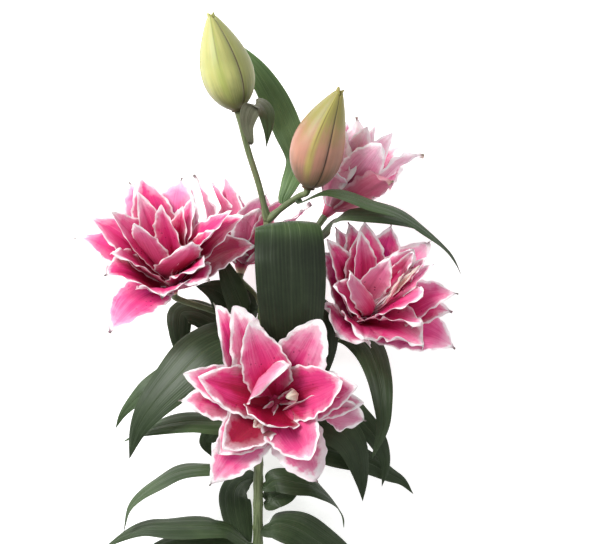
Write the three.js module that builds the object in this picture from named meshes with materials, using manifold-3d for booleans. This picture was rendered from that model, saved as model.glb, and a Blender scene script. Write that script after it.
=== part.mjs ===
// A cut stem of double oriental lily, lying on its back on a flat surface.
// Millimetres, +Z up, the stem runs along +Y and the open blooms look up along +Z.
// The origin is on the surface, under the middle of the whole spray.

import * as THREE from 'three';
import { mergeVertices } from 'three/addons/utils/BufferGeometryUtils.js';
import Module from 'manifold-3d';

const wasm = await Module();
wasm.setup();

// ---- driving dimensions ---------------------------------------------------------------

const SPRAY_CENTRE = [-28, -63];   // plan centre of the spray, moved to the origin
const STEM_BOTTOM_Y = -362;        // the cut end
const STEM_TOP_Y = 51;             // the fork of the two buds' pedicels
const STEM_RADIUS = 5.4;           // at the cut end
const STEM_TOP_RADIUS = 3.9;       // at the fork
const STEM_RISE = 92;              // the head's stem stands this much higher than the cut end
const STEM_LEAN = 10;              // the fork lies this far to the right of the cut end
const STEM_LEFT_X = -37;           // plan x of the cut end
const SEAT_GAP = 0.35;             // clearance between a piece and what carries it
const PETAL_THICKNESS = 0.9;
const LEAF_THICKNESS = 0.9;
const LEAF_GAP = 0.5;              // the same for a leaf
const LEAF_HEEL = 4;               // a leaf leaves its carrier at a right angle this far
const RECEPTACLE_DEPTH = 8.5;      // from a bloom's foot down to the end of its stalk
const RECEPTACLE_PROFILE = [[3.6, -8.5], [6.2, -1], [6.2, 4], [3, 16]];
const PEDICEL_RADIUS = 3.4;
const PETAL_HANDLES = [0.42, 0.34]; // of its length: how far its first and last bend reach
const PETAL_RIPPLE = 5;            // height of a petal's slow ripple where its wave is 1
const PETAL_RIPPLE_TURN = { along: 7, across: 2.4, next: 1.7 }; // radians of that ripple
const PETAL_FULLNESS = 0.8;        // how fast a petal narrows, less for a blunt tip
const PETAL_SKEW = 0.9;            // below 1 a petal is widest nearer its foot
const PETAL_FOOT = 0.16;           // width of its foot, of its greatest width
const PETAL_FLATTENING = 0.6;      // how much less its tip is cupped than its foot
const PETAL_STATIONS = [0, 0.28, 0.55, 0.8, 1];
const STRAIGHT_PETAL_STATIONS = [0, 0.34, 0.68, 1];
const LEAF_ARCH = 0.12;            // how far a leaf's edges hang, of its half width
const LEAF_FULLNESS = 0.95;        // how fast a leaf narrows, less for a blunt tip
const LEAF_SKEW = 0.72;            // below 1 a leaf is widest nearer its foot
const LEAF_FOOT = 0.22;            // width of its foot, of its greatest width
const LEAF_STATIONS = [0, 0.12, 0.28, 0.45, 0.62, 0.8, 1];
const ACROSS = [-1, 0, 1];
const BUD_STATIONS = 9;
const BUD_SIDES = 15;
const BUD_LOBES = 3;
const BUD_SWELL = 0.06;            // how far its three lobes stand out, of its radius
const BUD_FULLNESS = 0.85;
const BUD_SKEW = 0.7;              // below 1 a bud is widest nearer its foot
const BUD_ENDS = { foot: 0.25, tip: 0.12 }; // least radius at its ends, of its radius
const STEM_DIVISIONS = { steps: 10, sides: 10 };
const PEDICEL_DIVISIONS = { steps: 6, sides: 7 };
const RECEPTACLE_SIDES = 8;

const GREEN = new THREE.Color(0x35492a);
const PALE_GREEN = new THREE.Color(0x6f7b56);
const PINK = new THREE.Color(0xc93466);
const PALE_PINK = new THREE.Color(0xcf86a0);
const LIME = new THREE.Color(0xc5c482);
const BLUSH = new THREE.Color(0xd09f89);

// ---- small tools ----------------------------------------------------------------------

const vec = (x, y, z) => new THREE.Vector3(x, y, z);
const along = (origin, direction, distance) => origin.clone().addScaledVector(direction, distance);
const blend = (a, b, share) => a.clone().lerp(b, share);

function material(colour, roughness) {
  return new THREE.MeshStandardMaterial({ color: colour, roughness, metalness: 0 });
}

function bareGeometry(geometry) {
  const bare = geometry.clone();
  bare.deleteAttribute('normal');
  bare.deleteAttribute('uv');
  return mergeVertices(bare, 1e-4);
}

function solidFrom(geometry) {
  const bare = bareGeometry(geometry);
  const mesh = new wasm.Mesh({
    numProp: 3,
    vertProperties: new Float32Array(bare.attributes.position.array),
    triVerts: new Uint32Array(bare.index.array),
  });
  return new wasm.Manifold(mesh);
}

// The largest shell of a joined solid: small hollows that the joining seals are filled.
function outerShell(solid) {
  const mesh = solid.getMesh();
  const parent = Array.from({ length: mesh.vertProperties.length / mesh.numProp }, (_, i) => i);
  const root = (i) => {
    let at = i;
    while (parent[at] !== at) {
      parent[at] = parent[parent[at]];
      at = parent[at];
    }
    return at;
  };
  for (let i = 0; i < mesh.triVerts.length; i += 3) {
    parent[root(mesh.triVerts[i])] = root(mesh.triVerts[i + 1]);
    parent[root(mesh.triVerts[i + 1])] = root(mesh.triVerts[i + 2]);
  }
  const shells = new Map();
  for (let i = 0; i < mesh.triVerts.length; i += 3) {
    const key = root(mesh.triVerts[i]);
    if (!shells.has(key)) shells.set(key, []);
    shells.get(key).push(...mesh.triVerts.slice(i, i + 3));
  }
  const largest = [...shells.values()].sort((a, b) => b.length - a.length)[0];
  const geometry = new THREE.BufferGeometry();
  const positions = [];
  for (const index of largest) {
    positions.push(...mesh.vertProperties.slice(index * mesh.numProp, index * mesh.numProp + 3));
  }
  geometry.setAttribute('position', new THREE.Float32BufferAttribute(positions, 3));
  return mergeVertices(geometry, 1e-4);
}

function joined(geometries) {
  const solids = geometries.map(solidFrom);
  return outerShell(solids.reduce((whole, next) => whole.add(next)));
}

// A closed blade from rows of { point, normal }: both faces are split alike. The last row
// is drawn together to one point, and the edges are straight walls of the blade's thickness.
function blade(rows, thickness) {
  const positions = [];
  const last = rows.length - 1;
  const width = rows[0].length;
  const top = [];
  const bottom = [];
  rows.forEach((row, i) => {
    const upper = [];
    const lower = [];
    row.forEach(({ point, normal }, j) => {
      if (i === last && j > 0) {
        upper.push(upper[0]);
        lower.push(lower[0]);
        return;
      }
      upper.push(positions.length / 3);
      positions.push(...along(point, normal, thickness / 2).toArray());
      lower.push(positions.length / 3);
      positions.push(...along(point, normal, -thickness / 2).toArray());
    });
    top.push(upper);
    bottom.push(lower);
  });
  const triangles = [];
  const triangle = (a, b, c) => {
    if (a !== b && b !== c && c !== a) triangles.push(a, b, c);
  };
  const quad = (a, b, c, d) => {
    triangle(a, b, c);
    triangle(a, c, d);
  };
  for (let i = 0; i < last; i += 1) {
    for (let j = 0; j < width - 1; j += 1) {
      quad(top[i][j], top[i][j + 1], top[i + 1][j + 1], top[i + 1][j]);
      triangle(bottom[i][j], bottom[i + 1][j + 1], bottom[i][j + 1]);
      triangle(bottom[i][j], bottom[i + 1][j], bottom[i + 1][j + 1]);
    }
    quad(top[i][0], top[i + 1][0], bottom[i + 1][0], bottom[i][0]);
    const edge = width - 1;
    quad(top[i][edge], bottom[i][edge], bottom[i + 1][edge], top[i + 1][edge]);
  }
  for (let j = 0; j < width - 1; j += 1) {
    quad(top[0][j], bottom[0][j], bottom[0][j + 1], top[0][j + 1]);
  }
  const geometry = new THREE.BufferGeometry();
  geometry.setAttribute('position', new THREE.Float32BufferAttribute(positions, 3));
  geometry.setIndex(triangles);
  return geometry;
}

// A tube along a curve whose radius changes evenly from one end to the other.
function taperedTube(curve, startRadius, endRadius, { steps, sides }) {
  const section = new THREE.Shape();
  for (let i = 0; i < sides; i += 1) {
    const angle = (2 * Math.PI * i) / sides;
    if (i === 0) section.moveTo(Math.cos(angle), Math.sin(angle));
    else section.lineTo(Math.cos(angle), Math.sin(angle));
  }
  const options = { steps, extrudePath: curve, bevelEnabled: false };
  const tube = bareGeometry(new THREE.ExtrudeGeometry(section, options));
  const centres = curve.getSpacedPoints(steps);
  const position = tube.attributes.position;
  for (let i = 0; i < position.count; i += 1) {
    const corner = vec(0, 0, 0).fromBufferAttribute(position, i);
    const reach = centres.map((centre) => centre.distanceTo(corner));
    const nearest = reach.indexOf(Math.min(...reach));
    const radius = THREE.MathUtils.lerp(startRadius, endRadius, nearest / steps);
    const spoke = corner.sub(centres[nearest]).multiplyScalar(radius);
    position.setXYZ(i, ...centres[nearest].clone().add(spoke).toArray());
  }
  return tube;
}

function spline(points) {
  return new THREE.CatmullRomCurve3(points, false, 'centripetal');
}

// ---- stem and pedicels ----------------------------------------------------------------

// The stem rises steadily from the cut end, which lies on the surface, and leans a little.
function stemCentre(y) {
  const t = (y - STEM_BOTTOM_Y) / (STEM_TOP_Y - STEM_BOTTOM_Y);
  return vec(STEM_LEFT_X + STEM_LEAN * t ** 3, y, STEM_RADIUS + STEM_RISE * t);
}

function stemRadius(y) {
  const t = (y - STEM_BOTTOM_Y) / (STEM_TOP_Y - STEM_BOTTOM_Y);
  return THREE.MathUtils.lerp(STEM_RADIUS, STEM_TOP_RADIUS, t);
}

class StemCurve extends THREE.Curve {
  getPoint(t) {
    return stemCentre(THREE.MathUtils.lerp(STEM_BOTTOM_Y, STEM_TOP_Y, t));
  }
}

// Each flower stalk leaves the stem at a height y and passes two free points to its flower.
const PEDICELS = {
  front: { y: -146, via: [[-31, -133, 78]] },
  left: { y: -54, via: [[-72, -38, 66]] },
  right: { y: -104, via: [[3, -82, 68]] },
  back_right: { y: -30, via: [[-8, 2, 76]] },
  back_left: { y: -38, via: [[-41, -20, 58]] },
  green: { y: 48, via: [[-35, 80, 108], [-45, 112, 120]] },
  blush: { y: 48, via: [[-11, 61, 106], [3, 70, 114]] },
};

// ---- the flowers' places --------------------------------------------------------------

// foot: the receptacle's centre. axis: the way the flower looks. rings: its petals, each
// as the tip's place from the foot (x, y, z), the greatest width and the wave of its edge.
// Some have more. turn: degrees that the blade turns about its own length. cup, spread and
// curl: its own bend across, way of leaving and bend of the tip. grow: the side of the axis
// on which it grows, where that isn't the side of its tip. arch: how many times further it
// bulges. hook: how far its tip turns back over the axis. full: its own fullness.
const BLOOMS = {
  front: {
    foot: [-19, -120, 106],
    axis: [0.03, 0.1, 1],
    rings: {
      outer: [
        [-57, 92, 36, 42, 0.2, { cup: 0.2, grow: [-1, 0.35, 0], full: 0.7 }],
        [45, 58, 34, 42, 0.3],
        [82, -16, 18, 50, 0.5, { turn: 160, full: 0.6 }],
        [38, -72, 18, 48, 0.5, { full: 0.65 }],
        [-61, -75, 20, 44, 0.3],
        [-89, 3, 26, 38, 0.4],
      ],
      middle: [
        [-39, 89, 50, 46, 0.2, { cup: 0.25, grow: [-1, 0.9, 0], full: 0.65 }],
        [41, 77, 52, 50, 0.3, { full: 0.6 }],
        [74, 17, 40, 46, 0.3],
        [80, 1, 28, 34, 0.4],
        [-53, -45, 34, 46, 0.6],
        [-84, 28, 42, 40, 0.3],
      ],
      inner: [
        [-24, 75, 64, 44, 0.1],
        [60, 22, 54, 50, 0.3, { full: 0.7 }],
        [30, -50, 50, 52, 0.5, { full: 0.65 }],
        [-48, -40, 48, 46, 0.3],
        [-70, 25, 56, 46, 0.35],
      ],
      heart: [
        [-9, -18, 62, 52, 0.5, { cup: 0.5, full: 0.45 }],
        [9, 32, 60, 46, 0.6, { cup: 0.55, grow: [-1, 0.8, 0], spread: 1.5, curl: 0.8,
          arch: 1.5, hook: 0.5, full: 0.45 }],
        [9, 7, 54, 15, 0.3, { cup: 1.2, grow: [1, 0.3, 0], spread: 1.2, curl: 1,
          arch: 1.3, hook: 1.2, full: 0.5 }],
        [-19, -20, 54, 12, 0.3, { cup: 0.9, full: 0.4 }],
      ],
    },
  },
  left: {
    foot: [-115, -13, 85],
    axis: [-0.12, 0.72, 0.68],
    rings: {
      outer: [
        [-40, 96, 4, 44, 0.2, { full: 0.5 }],
        [9, 100, 8, 48, 0.2, { full: 0.6 }],
        [-90, 44, 14, 38, 0.3],
        [-56, -43, 40, 50, 0.5],
        [79, 37, 9, 46, 0.2],
        [36, 5, 62, 46, 0.5],
        [-60, 9, 53, 52, 0.5, { full: 0.65 }],
        [-7, -11, 73, 54, 0.6],
      ],
      middle: [
        [-29, 100, 20, 42, 0.2, { full: 0.65 }],
        [-75, 63, 34, 42, 0.2],
        [67, 64, 40, 42, 0.2],
        [22, 94, 15, 24, 0.1],
        [-53, 30, 70, 36, 0.4],
        [32, 19, 73, 36, 0.6],
      ],
      inner: [
        [-54, 68, 50, 38, 0.1],
        [-30, 86, 40, 26, 0.1],
        [20, 81, 38, 28, 0.2],
        [11, 73, 43, 26, 0.2],
        [56, 69, 58, 32, 0.1],
        [-32, 57, 72, 36, 0.1, { turn: -35 }],
        [-8, 74, 62, 30, 0.1],
        [41, 51, 73, 30, 0.1],
      ],
      heart: [
        [21, 40, 75, 38, 0.3, { cup: 0.5, grow: [0.1, -0.68, 0.72] }],
      ],
    },
  },
  right: {
    foot: [54, -46, 85],
    axis: [0.4, 0.52, 0.75],
    rings: {
      outer: [
        [-7, 92, 6, 34, 0.1],
        [-19, 88, -1, 30, 0.1],
        [33, 90, 2, 42, 0.1],
        [68, 74, 15, 38, 0.8, { full: 0.6 }],
        [94, 26, 27, 42, 0.3],
        [89, 9, 15, 40, 0.3],
        [91, -25, 20, 56, 0.3],
        [-19, -12, 43, 54, 1.1, { full: 0.5 }],
        [-32, 65, 20, 38, 0.3],
      ],
      middle: [
        [8, 92, 24, 44, 0.1],
        [-27, 76, 40, 34, 0.1],
        [61, -22, 43, 46, 1.5, { full: 0.55 }],
        [7, -15, 53, 46, 0.6],
        [51, 67, 55, 32, 1.2, { full: 0.5 }],
      ],
      inner: [
        [4, 83, 48, 32, 0.1, { cup: 0.8 }],
        [30, 58, 65, 30, 0.3, { turn: 50 }],
        [60, 26, 67, 46, 0.4, { full: 0.5 }],
        [-21, 33, 65, 38, 0.6, { cup: 0.6 }],
        [70, 53, 55, 22, 0.5],
        [59, 0, 60, 32, 0.9, { cup: 0.9, full: 0.55 }],
      ],
      heart: [
        [-6, 46, 75, 23, 0.6, { cup: 0.9, grow: [0.6, -0.5, 0.3], full: 0.6 }],
        [52, 64, 61, 16, 0.9, { cup: 1.2, full: 0.4 }],
        [63, 58, 55, 16, 0.9, { cup: 1.2, full: 0.4 }],
        [57, 52, 61, 8, 0.2, { cup: 1.2 }],
        [43, 45, 67, 7, 0, { cup: 1.2 }],
      ],
    },
  },
  back_right: {
    foot: [31, 59, 82],
    axis: [0.58, 0.8, -0.05],
    rings: {
      outer: [
        [86, 48, 20, 24, 0.6],
        [56, 23, 46, 30, 1, { full: 0.5 }],
        [23, 83, 28, 36, 0.3],
        [-23, 67, -25, 36, 0.2],
        [13, 83, -50, 36, 0.2],
        [68, 44, -82, 40, 0.2],
        [40, 9, 10, 30, 0.3, { full: 0.5 }],
      ],
      middle: [
        [46, 57, 52, 34, 0.2, { full: 0.65 }],
        [57, 69, 18, 28, 0.2],
        [33, 74, 34, 32, 0.2],
        [10, 77, 22, 34, 0.1],
        [41, 75, 28, 20, 0.1],
        [18, 76, -30, 30, 0],
        [64, 58, -48, 30, 0.1],
      ],
      inner: [
        [6, 32, 42, 17, 0.1],
        [29, 62, 8, 26, 0],
        [44, 53, -15, 26, 0],
      ],
    },
  },
  back_left: {
    foot: [-52, 7, 62],
    axis: [0.08, 0.96, -0.15],
    rings: {
      outer: [
        [-44, 84, 2, 30, 0.5, { curl: 0.2 }],
        [24, 65, 14, 48, 0.1],
        [66, 56, 0, 40, 0.8, { curl: 0.2, full: 0.6 }],
        [11, 8, 8, 40, 0.4],
        [-37, 36, -62, 36, 0.2],
        [13, 39, -58, 40, 0.3],
        [46, 30, -40, 34, 0.3],
      ],
      middle: [
        [-16, 84, 4, 36, 0.4],
        [43, 63, 2, 38, 0.1],
        [-8, 59, -45, 34, 0.2],
        [17, 52, 18, 36, 0.1],
      ],
      inner: [
        [-30, 82, -2, 26, 0.4],
        [-5, 68, 10, 26, 0],
        [20, 48, -10, 26, 0],
        [0, 50, -18, 22, 0],
      ],
    },
  },
};

// root: where a petal grows, out from the flower's axis and along it. rise and spread: how
// it leaves. curl: how far its tip bends back. cup: the angle, in radians, through which
// each half of its width bends up. stations: the shares of its length at which it has rows.
const RINGS = {
  outer: { root: [5, 0], rise: 0.6, spread: 0.8, curl: 0.75, cup: 0.32,
    stations: PETAL_STATIONS },
  middle: { root: [4.5, 5], rise: 0.8, spread: 0.6, curl: 0.4, cup: 0.48,
    stations: PETAL_STATIONS },
  inner: { root: [3, 10], rise: 0.94, spread: 0.34, curl: 0.12, cup: 0.64,
    stations: STRAIGHT_PETAL_STATIONS },
  heart: { root: [1.5, 14], rise: 0.8, spread: 0.6, curl: -0.6, cup: 1,
    stations: PETAL_STATIONS },
};

// bow: how far the middle of a bud lies off the straight line from its foot to its tip.
const BUDS = {
  green: { foot: [-54, 147, 132], tip: [-79, 236, 150], radius: 24, bow: [-1, 0, 0] },
  blush: { foot: [10, 77, 121], tip: [40, 167, 158], radius: 24.5, bow: [-5, 0, 0] },
};

// ---- leaves ---------------------------------------------------------------------------

const LEAF_FACING = [[0, 0.8, 0.6], [0, 0.3, 1]];

// y, or stalk and share: where the leaf grows on the stem or on a flower's stalk.
// via: free points of its midrib. width: the greatest. fullness and skew: its own outline.
// facing: the way its upper face looks, at the root and at the tip.
const LEAVES = [
  { name: 'leaf_left_broad', y: -88, width: 47, facing: [[0, 0.6, 0.8], [-0.25, 0.25, 1]],
    via: [[-63, -64, 92], [-85, -72, 102], [-109, -95, 106], [-132, -121, 104],
      [-147, -145, 98], [-155, -173, 88]] },
  { name: 'leaf_left_behind', y: -104, width: 28,
    via: [[-85, -83, 76], [-133, -104, 80], [-150, -118, 77], [-162, -132, 73],
      [-169, -146, 68]] },
  { name: 'leaf_left_level', y: -136, width: 30, facing: [[0, 0.8, 0.6], [-0.3, 0.7, 0.6]],
    via: [[-73, -139, 74], [-97, -138, 80], [-121, -141, 80], [-140, -147, 76],
      [-162, -158, 68]] },
  { name: 'leaf_left_arching', y: -180, width: 25, facing: [[0, 0.93, 0.37], [-0.9, 0.1, 0.4]],
    via: [[-62, -183, 60], [-83, -182, 68], [-108, -185, 72], [-125, -193, 72],
      [-144, -206, 69], [-157, -222, 63], [-162, -243, 54]] },
  { name: 'leaf_left_low', y: -256, width: 30, facing: [[0, 0.85, 0.53], [-0.5, 0.6, 0.6]],
    via: [[-65, -241, 46], [-79, -238, 52], [-121, -238, 55], [-141, -239, 52],
      [-163, -247, 45], [-183, -261, 34]] },
  { name: 'leaf_left_lowest', y: -285, width: 28, facing: [[0, 0.7, 0.7], [-0.4, 0.3, 0.9]],
    via: [[-66, -264, 30], [-94, -256, 34], [-121, -259, 34], [-144, -271, 27],
      [-163, -293, 14]] },
  { name: 'leaf_left_hanging', y: -194, width: 30, fullness: 0.8,
    facing: [[-0.4, 0.4, 0.8], [-0.1, 0.2, 1]],
    via: [[-53, -198, 33], [-59, -208, 28], [-58, -226, 22], [-52, -251, 15],
      [-47, -276, 8]] },
  { name: 'leaf_left_hidden', y: -160, width: 24,
    via: [[-58, -152, 54], [-76, -148, 56], [-85, -158, 54], [-80, -173, 48]] },
  { name: 'leaf_right_hooked', y: -200, width: 26, facing: [[0, 0.3, 1], [0.8, 0.6, -0.2]],
    via: [[-20, -194, 54], [-2, -196, 58], [14, -199, 58], [27, -208, 54],
      [37, -219, 50], [43, -230, 46], [44, -240, 42]] },
  { name: 'leaf_right_low', y: -240, width: 40, fullness: 0.7,
    via: [[-20, -236, 42], [-2, -239, 46], [19, -252, 43], [44, -270, 35], [63, -293, 24]] },
  { name: 'leaf_right_short', y: -218, width: 24,
    via: [[-22, -212, 36], [-10, -207, 35], [6, -198, 30]] },
  { name: 'leaf_right_long', y: -143, width: 31,
    via: [[3, -155, 60], [24, -163, 66], [54, -172, 67], [70, -179, 64], [86, -188, 60],
      [98, -195, 55], [109, -208, 49]] },
  { name: 'leaf_right_drooping', y: -116, width: 36, facing: [[0, 0.5, 0.8], [0.1, 0.1, 1]],
    via: [[12, -136, 82], [38, -145, 90], [51, -160, 90], [57, -178, 86], [60, -196, 81],
      [61, -213, 74]] },
  { name: 'leaf_right_behind', y: -130, width: 28,
    via: [[5, -130, 68], [40, -122, 72], [58, -136, 77], [73, -153, 78], [80, -168, 76],
      [82, -182, 72], [79, -200, 64]] },
  { name: 'leaf_right_broad', y: -46, width: 29, fullness: 0.8,
    via: [[10, -49, 58], [48, -55, 56], [66, -70, 72], [76, -97, 92], [79, -120, 100],
      [79, -142, 102], [69, -172, 98]] },
  { name: 'leaf_right_inner', y: -42, width: 26,
    via: [[8, -28, 86], [22, -38, 88], [27, -62, 87], [24, -90, 84], [16, -115, 76]] },
  { name: 'leaf_centre', y: 33, width: 60, fullness: 0.5, skew: 0.85,
    facing: [[0, 1, 0.1], [0, 0.1, 1]],
    via: [[-12, 46, 124], [-8, 42, 138], [-6, 10, 141], [-5, -25, 137], [-4, -62, 126],
      [0, -96, 104], [4, -112, 90]] },
  { name: 'leaf_arch_upper', stalk: 'blush', share: 0.75, width: 19,
    facing: [[0, 0.9, 0.45], [0.7, 0.5, 0.5]],
    via: [[26, 73, 140], [46, 69, 150], [67, 62, 152], [90, 54, 150], [113, 40, 144],
      [132, 24, 134], [144, 10, 124], [150, -2, 114]] },
  { name: 'leaf_arch_lower', stalk: 'back_right', share: 0.74, width: 26,
    facing: [[0, 0.85, 0.5], [0.6, 0.5, 0.6]],
    via: [[33, 45, 102], [42, 53, 112], [58, 54, 120], [76, 53, 122], [95, 48, 120],
      [113, 40, 114], [126, 29, 106]] },
  { name: 'leaf_top', stalk: 'blush', share: 0.4, width: 26, fullness: 0.65, skew: 1.1,
    facing: [[0, 0.4, 1], [-0.3, 0.3, 1]],
    via: [[-7, 81, 96], [1, 105, 88], [-9, 133, 84], [-21, 160, 82], [-37, 186, 82],
      [-60, 213, 84]] },
  { name: 'leaf_bract', stalk: 'green', share: 0.72, width: 18, fullness: 1.2, skew: 1.05,
    facing: [[0, 0.6, -0.8], [0.3, -0.2, 1]],
    via: [[-45, 133, 136], [-42, 146, 147], [-35, 153, 150], [-28, 146, 146],
      [-26, 132, 139], [-28, 113, 130]] },
  { name: 'leaf_under_left', y: -74, width: 28,
    via: [[-62, -56, 50], [-92, -38, 46], [-108, -38, 48], [-110, -55, 50],
      [-106, -80, 48], [-100, -105, 44]] },
  { name: 'leaf_dark', y: -35, width: 34, facing: [[0, 0.2, 1], [0, 0.3, 1]],
    via: [[-54, -32, 72], [-76, -17, 73], [-94, -13, 72]] },
  { name: 'leaf_strip', y: -48, width: 22,
    via: [[-49, -36, 90], [-60, -12, 92], [-68, 8, 88], [-75, 24, 81]] },
];

// ---- petals and blooms ----------------------------------------------------------------

// The share of a blade's greatest width, from a narrow foot to a pointed tip.
function outline(u, { fullness, skew, foot }) {
  return Math.sin(Math.PI * u ** skew) ** fullness + foot * (1 - u) ** 2;
}

// The petal's midline, from its root by the axis to its tip, and the way it grows out.
function petalMidline(foot, axis, ring, reach, more) {
  const { grow, spread = ring.spread, curl = ring.curl, arch = 1, hook = 0 } = more;
  const toward = grow ? vec(...grow) : reach;
  const outward = along(toward, axis, -toward.dot(axis)).normalize();
  const start = along(along(foot, axis, ring.root[1]), outward, ring.root[0]);
  const tip = foot.clone().add(reach);
  const length = tip.distanceTo(start);
  const away = tip.clone().sub(start).normalize();
  const leaving = axis.clone().multiplyScalar(ring.rise).addScaledVector(outward, spread);
  const ending = along(along(away, axis, -curl), outward, -hook).normalize();
  const first = along(start, leaving.normalize(), PETAL_HANDLES[0] * length * arch);
  const last = along(tip, ending, -PETAL_HANDLES[1] * length * arch);
  return { midline: new THREE.CubicBezierCurve3(start, first, last, tip), outward };
}

// Across its midline a petal lies on an arc, less and less bent towards its tip.
function petal(foot, axis, ring, [x, y, z, width, wave, more = {}], order) {
  const { turn = 0, cup = ring.cup, full = PETAL_FULLNESS } = more;
  const { midline, outward } = petalMidline(foot, axis, ring, vec(x, y, z), more);
  const form = { fullness: full, skew: PETAL_SKEW, foot: PETAL_FOOT };
  const { along: waveAlong, across: waveAcross, next: waveNext } = PETAL_RIPPLE_TURN;
  const rows = ring.stations.map((u) => {
    const forward = midline.getTangent(u);
    const angle = THREE.MathUtils.degToRad(turn) * Math.sqrt(u);
    const side = outward.clone().cross(axis).normalize();
    const inner = side.clone().cross(forward).normalize();
    side.applyAxisAngle(forward, -angle);
    inner.applyAxisAngle(forward, -angle);
    const halfWidth = (width / 2) * outline(u, form);
    const bend = cup * (1 - PETAL_FLATTENING * u);
    return ACROSS.map((v) => {
      const arc = (halfWidth * (1 - Math.cos(bend * v))) / bend;
      const phase = waveAlong * u + waveAcross * v + waveNext * order;
      const ripple = wave * PETAL_RIPPLE * u * Math.sin(phase) * v * v;
      const point = along(midline.getPoint(u), side, (halfWidth * Math.sin(bend * v)) / bend);
      return { point: along(point, inner, arc + ripple), normal: inner };
    });
  });
  return blade(rows, PETAL_THICKNESS);
}

// The receptacle: it widens from the stalk and narrows again among the petals.
function receptacle(foot, axis) {
  const ring = RECEPTACLE_PROFILE.map(([radius, height]) => new THREE.Vector2(radius, height));
  const [low, high] = [ring[0].y, ring[ring.length - 1].y];
  const profile = [new THREE.Vector2(0, low), ...ring, new THREE.Vector2(0, high)];
  const body = bareGeometry(new THREE.LatheGeometry(profile, RECEPTACLE_SIDES));
  body.applyQuaternion(new THREE.Quaternion().setFromUnitVectors(vec(0, 1, 0), axis));
  body.translate(...foot.toArray());
  return body;
}

function bloom({ foot, axis, rings }) {
  const centre = vec(...foot);
  const look = vec(...axis).normalize();
  const pieces = [receptacle(centre, look)];
  let order = 0;
  for (const [name, petals] of Object.entries(rings)) {
    for (const measures of petals) {
      pieces.push(petal(centre, look, RINGS[name], measures, order));
      order += 1;
    }
  }
  return joined(pieces);
}

// ---- buds -----------------------------------------------------------------------------

// A closed bud: a long body with three rounded lobes and three seams, drawn to a point.
function bud({ foot, tip, radius, bow }) {
  const start = vec(...foot);
  const axis = vec(...tip).sub(start);
  const length = axis.length();
  const profile = [];
  for (let i = 0; i <= BUD_STATIONS; i += 1) {
    const u = i / BUD_STATIONS;
    const body = outline(u, { fullness: BUD_FULLNESS, skew: BUD_SKEW, foot: 0 });
    const share = i === 0 ? BUD_ENDS.foot : Math.max(body, BUD_ENDS.tip);
    profile.push(new THREE.Vector2(radius * share, length * u));
  }
  profile.unshift(new THREE.Vector2(0, 0));
  profile.push(new THREE.Vector2(0, length));
  const body = bareGeometry(new THREE.LatheGeometry(profile, BUD_SIDES));
  const position = body.attributes.position;
  for (let i = 0; i < position.count; i += 1) {
    const angle = Math.atan2(position.getZ(i), position.getX(i));
    const swell = 1 + BUD_SWELL * Math.cos(BUD_LOBES * angle);
    position.setX(i, position.getX(i) * swell);
    position.setZ(i, position.getZ(i) * swell);
  }
  const turn = new THREE.Quaternion().setFromUnitVectors(vec(0, 1, 0), axis.normalize());
  const shares = Array.from(position.array).filter((_, i) => i % 3 === 1);
  body.applyQuaternion(turn);
  shares.forEach((height, i) => {
    const bend = Math.sin((Math.PI * height) / length);
    const corner = vec(...foot).addScaledVector(vec(...bow), bend);
    position.setXYZ(i, ...corner.add(vec(0, 0, 0).fromBufferAttribute(position, i)).toArray());
  });
  return body;
}

// ---- stem -----------------------------------------------------------------------------

function flowerEnd(name) {
  const flower = BLOOMS[name] ?? BUDS[name];
  const foot = vec(...flower.foot);
  if (BUDS[name]) {
    const look = vec(...flower.tip).sub(foot).normalize();
    return { end: along(foot, look, -SEAT_GAP), look };
  }
  const look = vec(...flower.axis).normalize();
  return { end: along(foot, look, -RECEPTACLE_DEPTH - SEAT_GAP), look };
}

function pedicelCurve(name) {
  const { y, via } = PEDICELS[name];
  const { end, look } = flowerEnd(name);
  const middle = via.map((point) => vec(...point));
  return spline([stemCentre(y), ...middle, along(end, look, -5), end]);
}

function stem() {
  const pieces = [taperedTube(new StemCurve(), STEM_RADIUS, STEM_TOP_RADIUS, STEM_DIVISIONS)];
  for (const name of Object.keys(PEDICELS)) {
    const stalk = pedicelCurve(name);
    pieces.push(taperedTube(stalk, PEDICEL_RADIUS, PEDICEL_RADIUS, PEDICEL_DIVISIONS));
  }
  return joined(pieces);
}

// ---- one leaf -------------------------------------------------------------------------

// The leaf's first two points: just off its carrier, and a little further straight out.
function leafRoot({ y, stalk, share }, toward) {
  const centre = stalk ? pedicelCurve(stalk).getPointAt(share) : stemCentre(y);
  const radius = stalk ? PEDICEL_RADIUS : stemRadius(y);
  const run = stalk ? pedicelCurve(stalk).getTangentAt(share) : vec(0, 1, 0);
  const outward = toward.clone().sub(centre);
  outward.addScaledVector(run, -outward.dot(run)).normalize();
  const seat = radius + LEAF_GAP;
  return [along(centre, outward, seat), along(centre, outward, seat + LEAF_HEEL)];
}

function leaf(measures) {
  const { via, width, facing = LEAF_FACING } = measures;
  const { fullness = LEAF_FULLNESS, skew = LEAF_SKEW } = measures;
  const form = { fullness, skew, foot: LEAF_FOOT };
  const free = via.map((point) => vec(...point));
  const midrib = spline([...leafRoot(measures, free[0]), ...free]);
  const rows = LEAF_STATIONS.map((u) => {
    const forward = midrib.getTangentAt(u);
    const look = blend(vec(...facing[0]), vec(...facing[1]), u);
    const side = forward.clone().cross(look).normalize();
    const upper = side.clone().cross(forward).normalize();
    const halfWidth = (width / 2) * outline(u, form);
    return ACROSS.map((v) => {
      const point = midrib.getPointAt(u).addScaledVector(side, halfWidth * v);
      const arch = -LEAF_ARCH * halfWidth * v * v;
      return { point: point.addScaledVector(upper, arch), normal: upper };
    });
  });
  return blade(rows, LEAF_THICKNESS);
}

// ---- the spray ------------------------------------------------------------------------

const lily = new THREE.Group();
lily.position.set(-SPRAY_CENTRE[0], -SPRAY_CENTRE[1], 0);

function place(name, geometry, look) {
  const mesh = new THREE.Mesh(geometry, look);
  mesh.name = name;
  lily.add(mesh);
}

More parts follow.
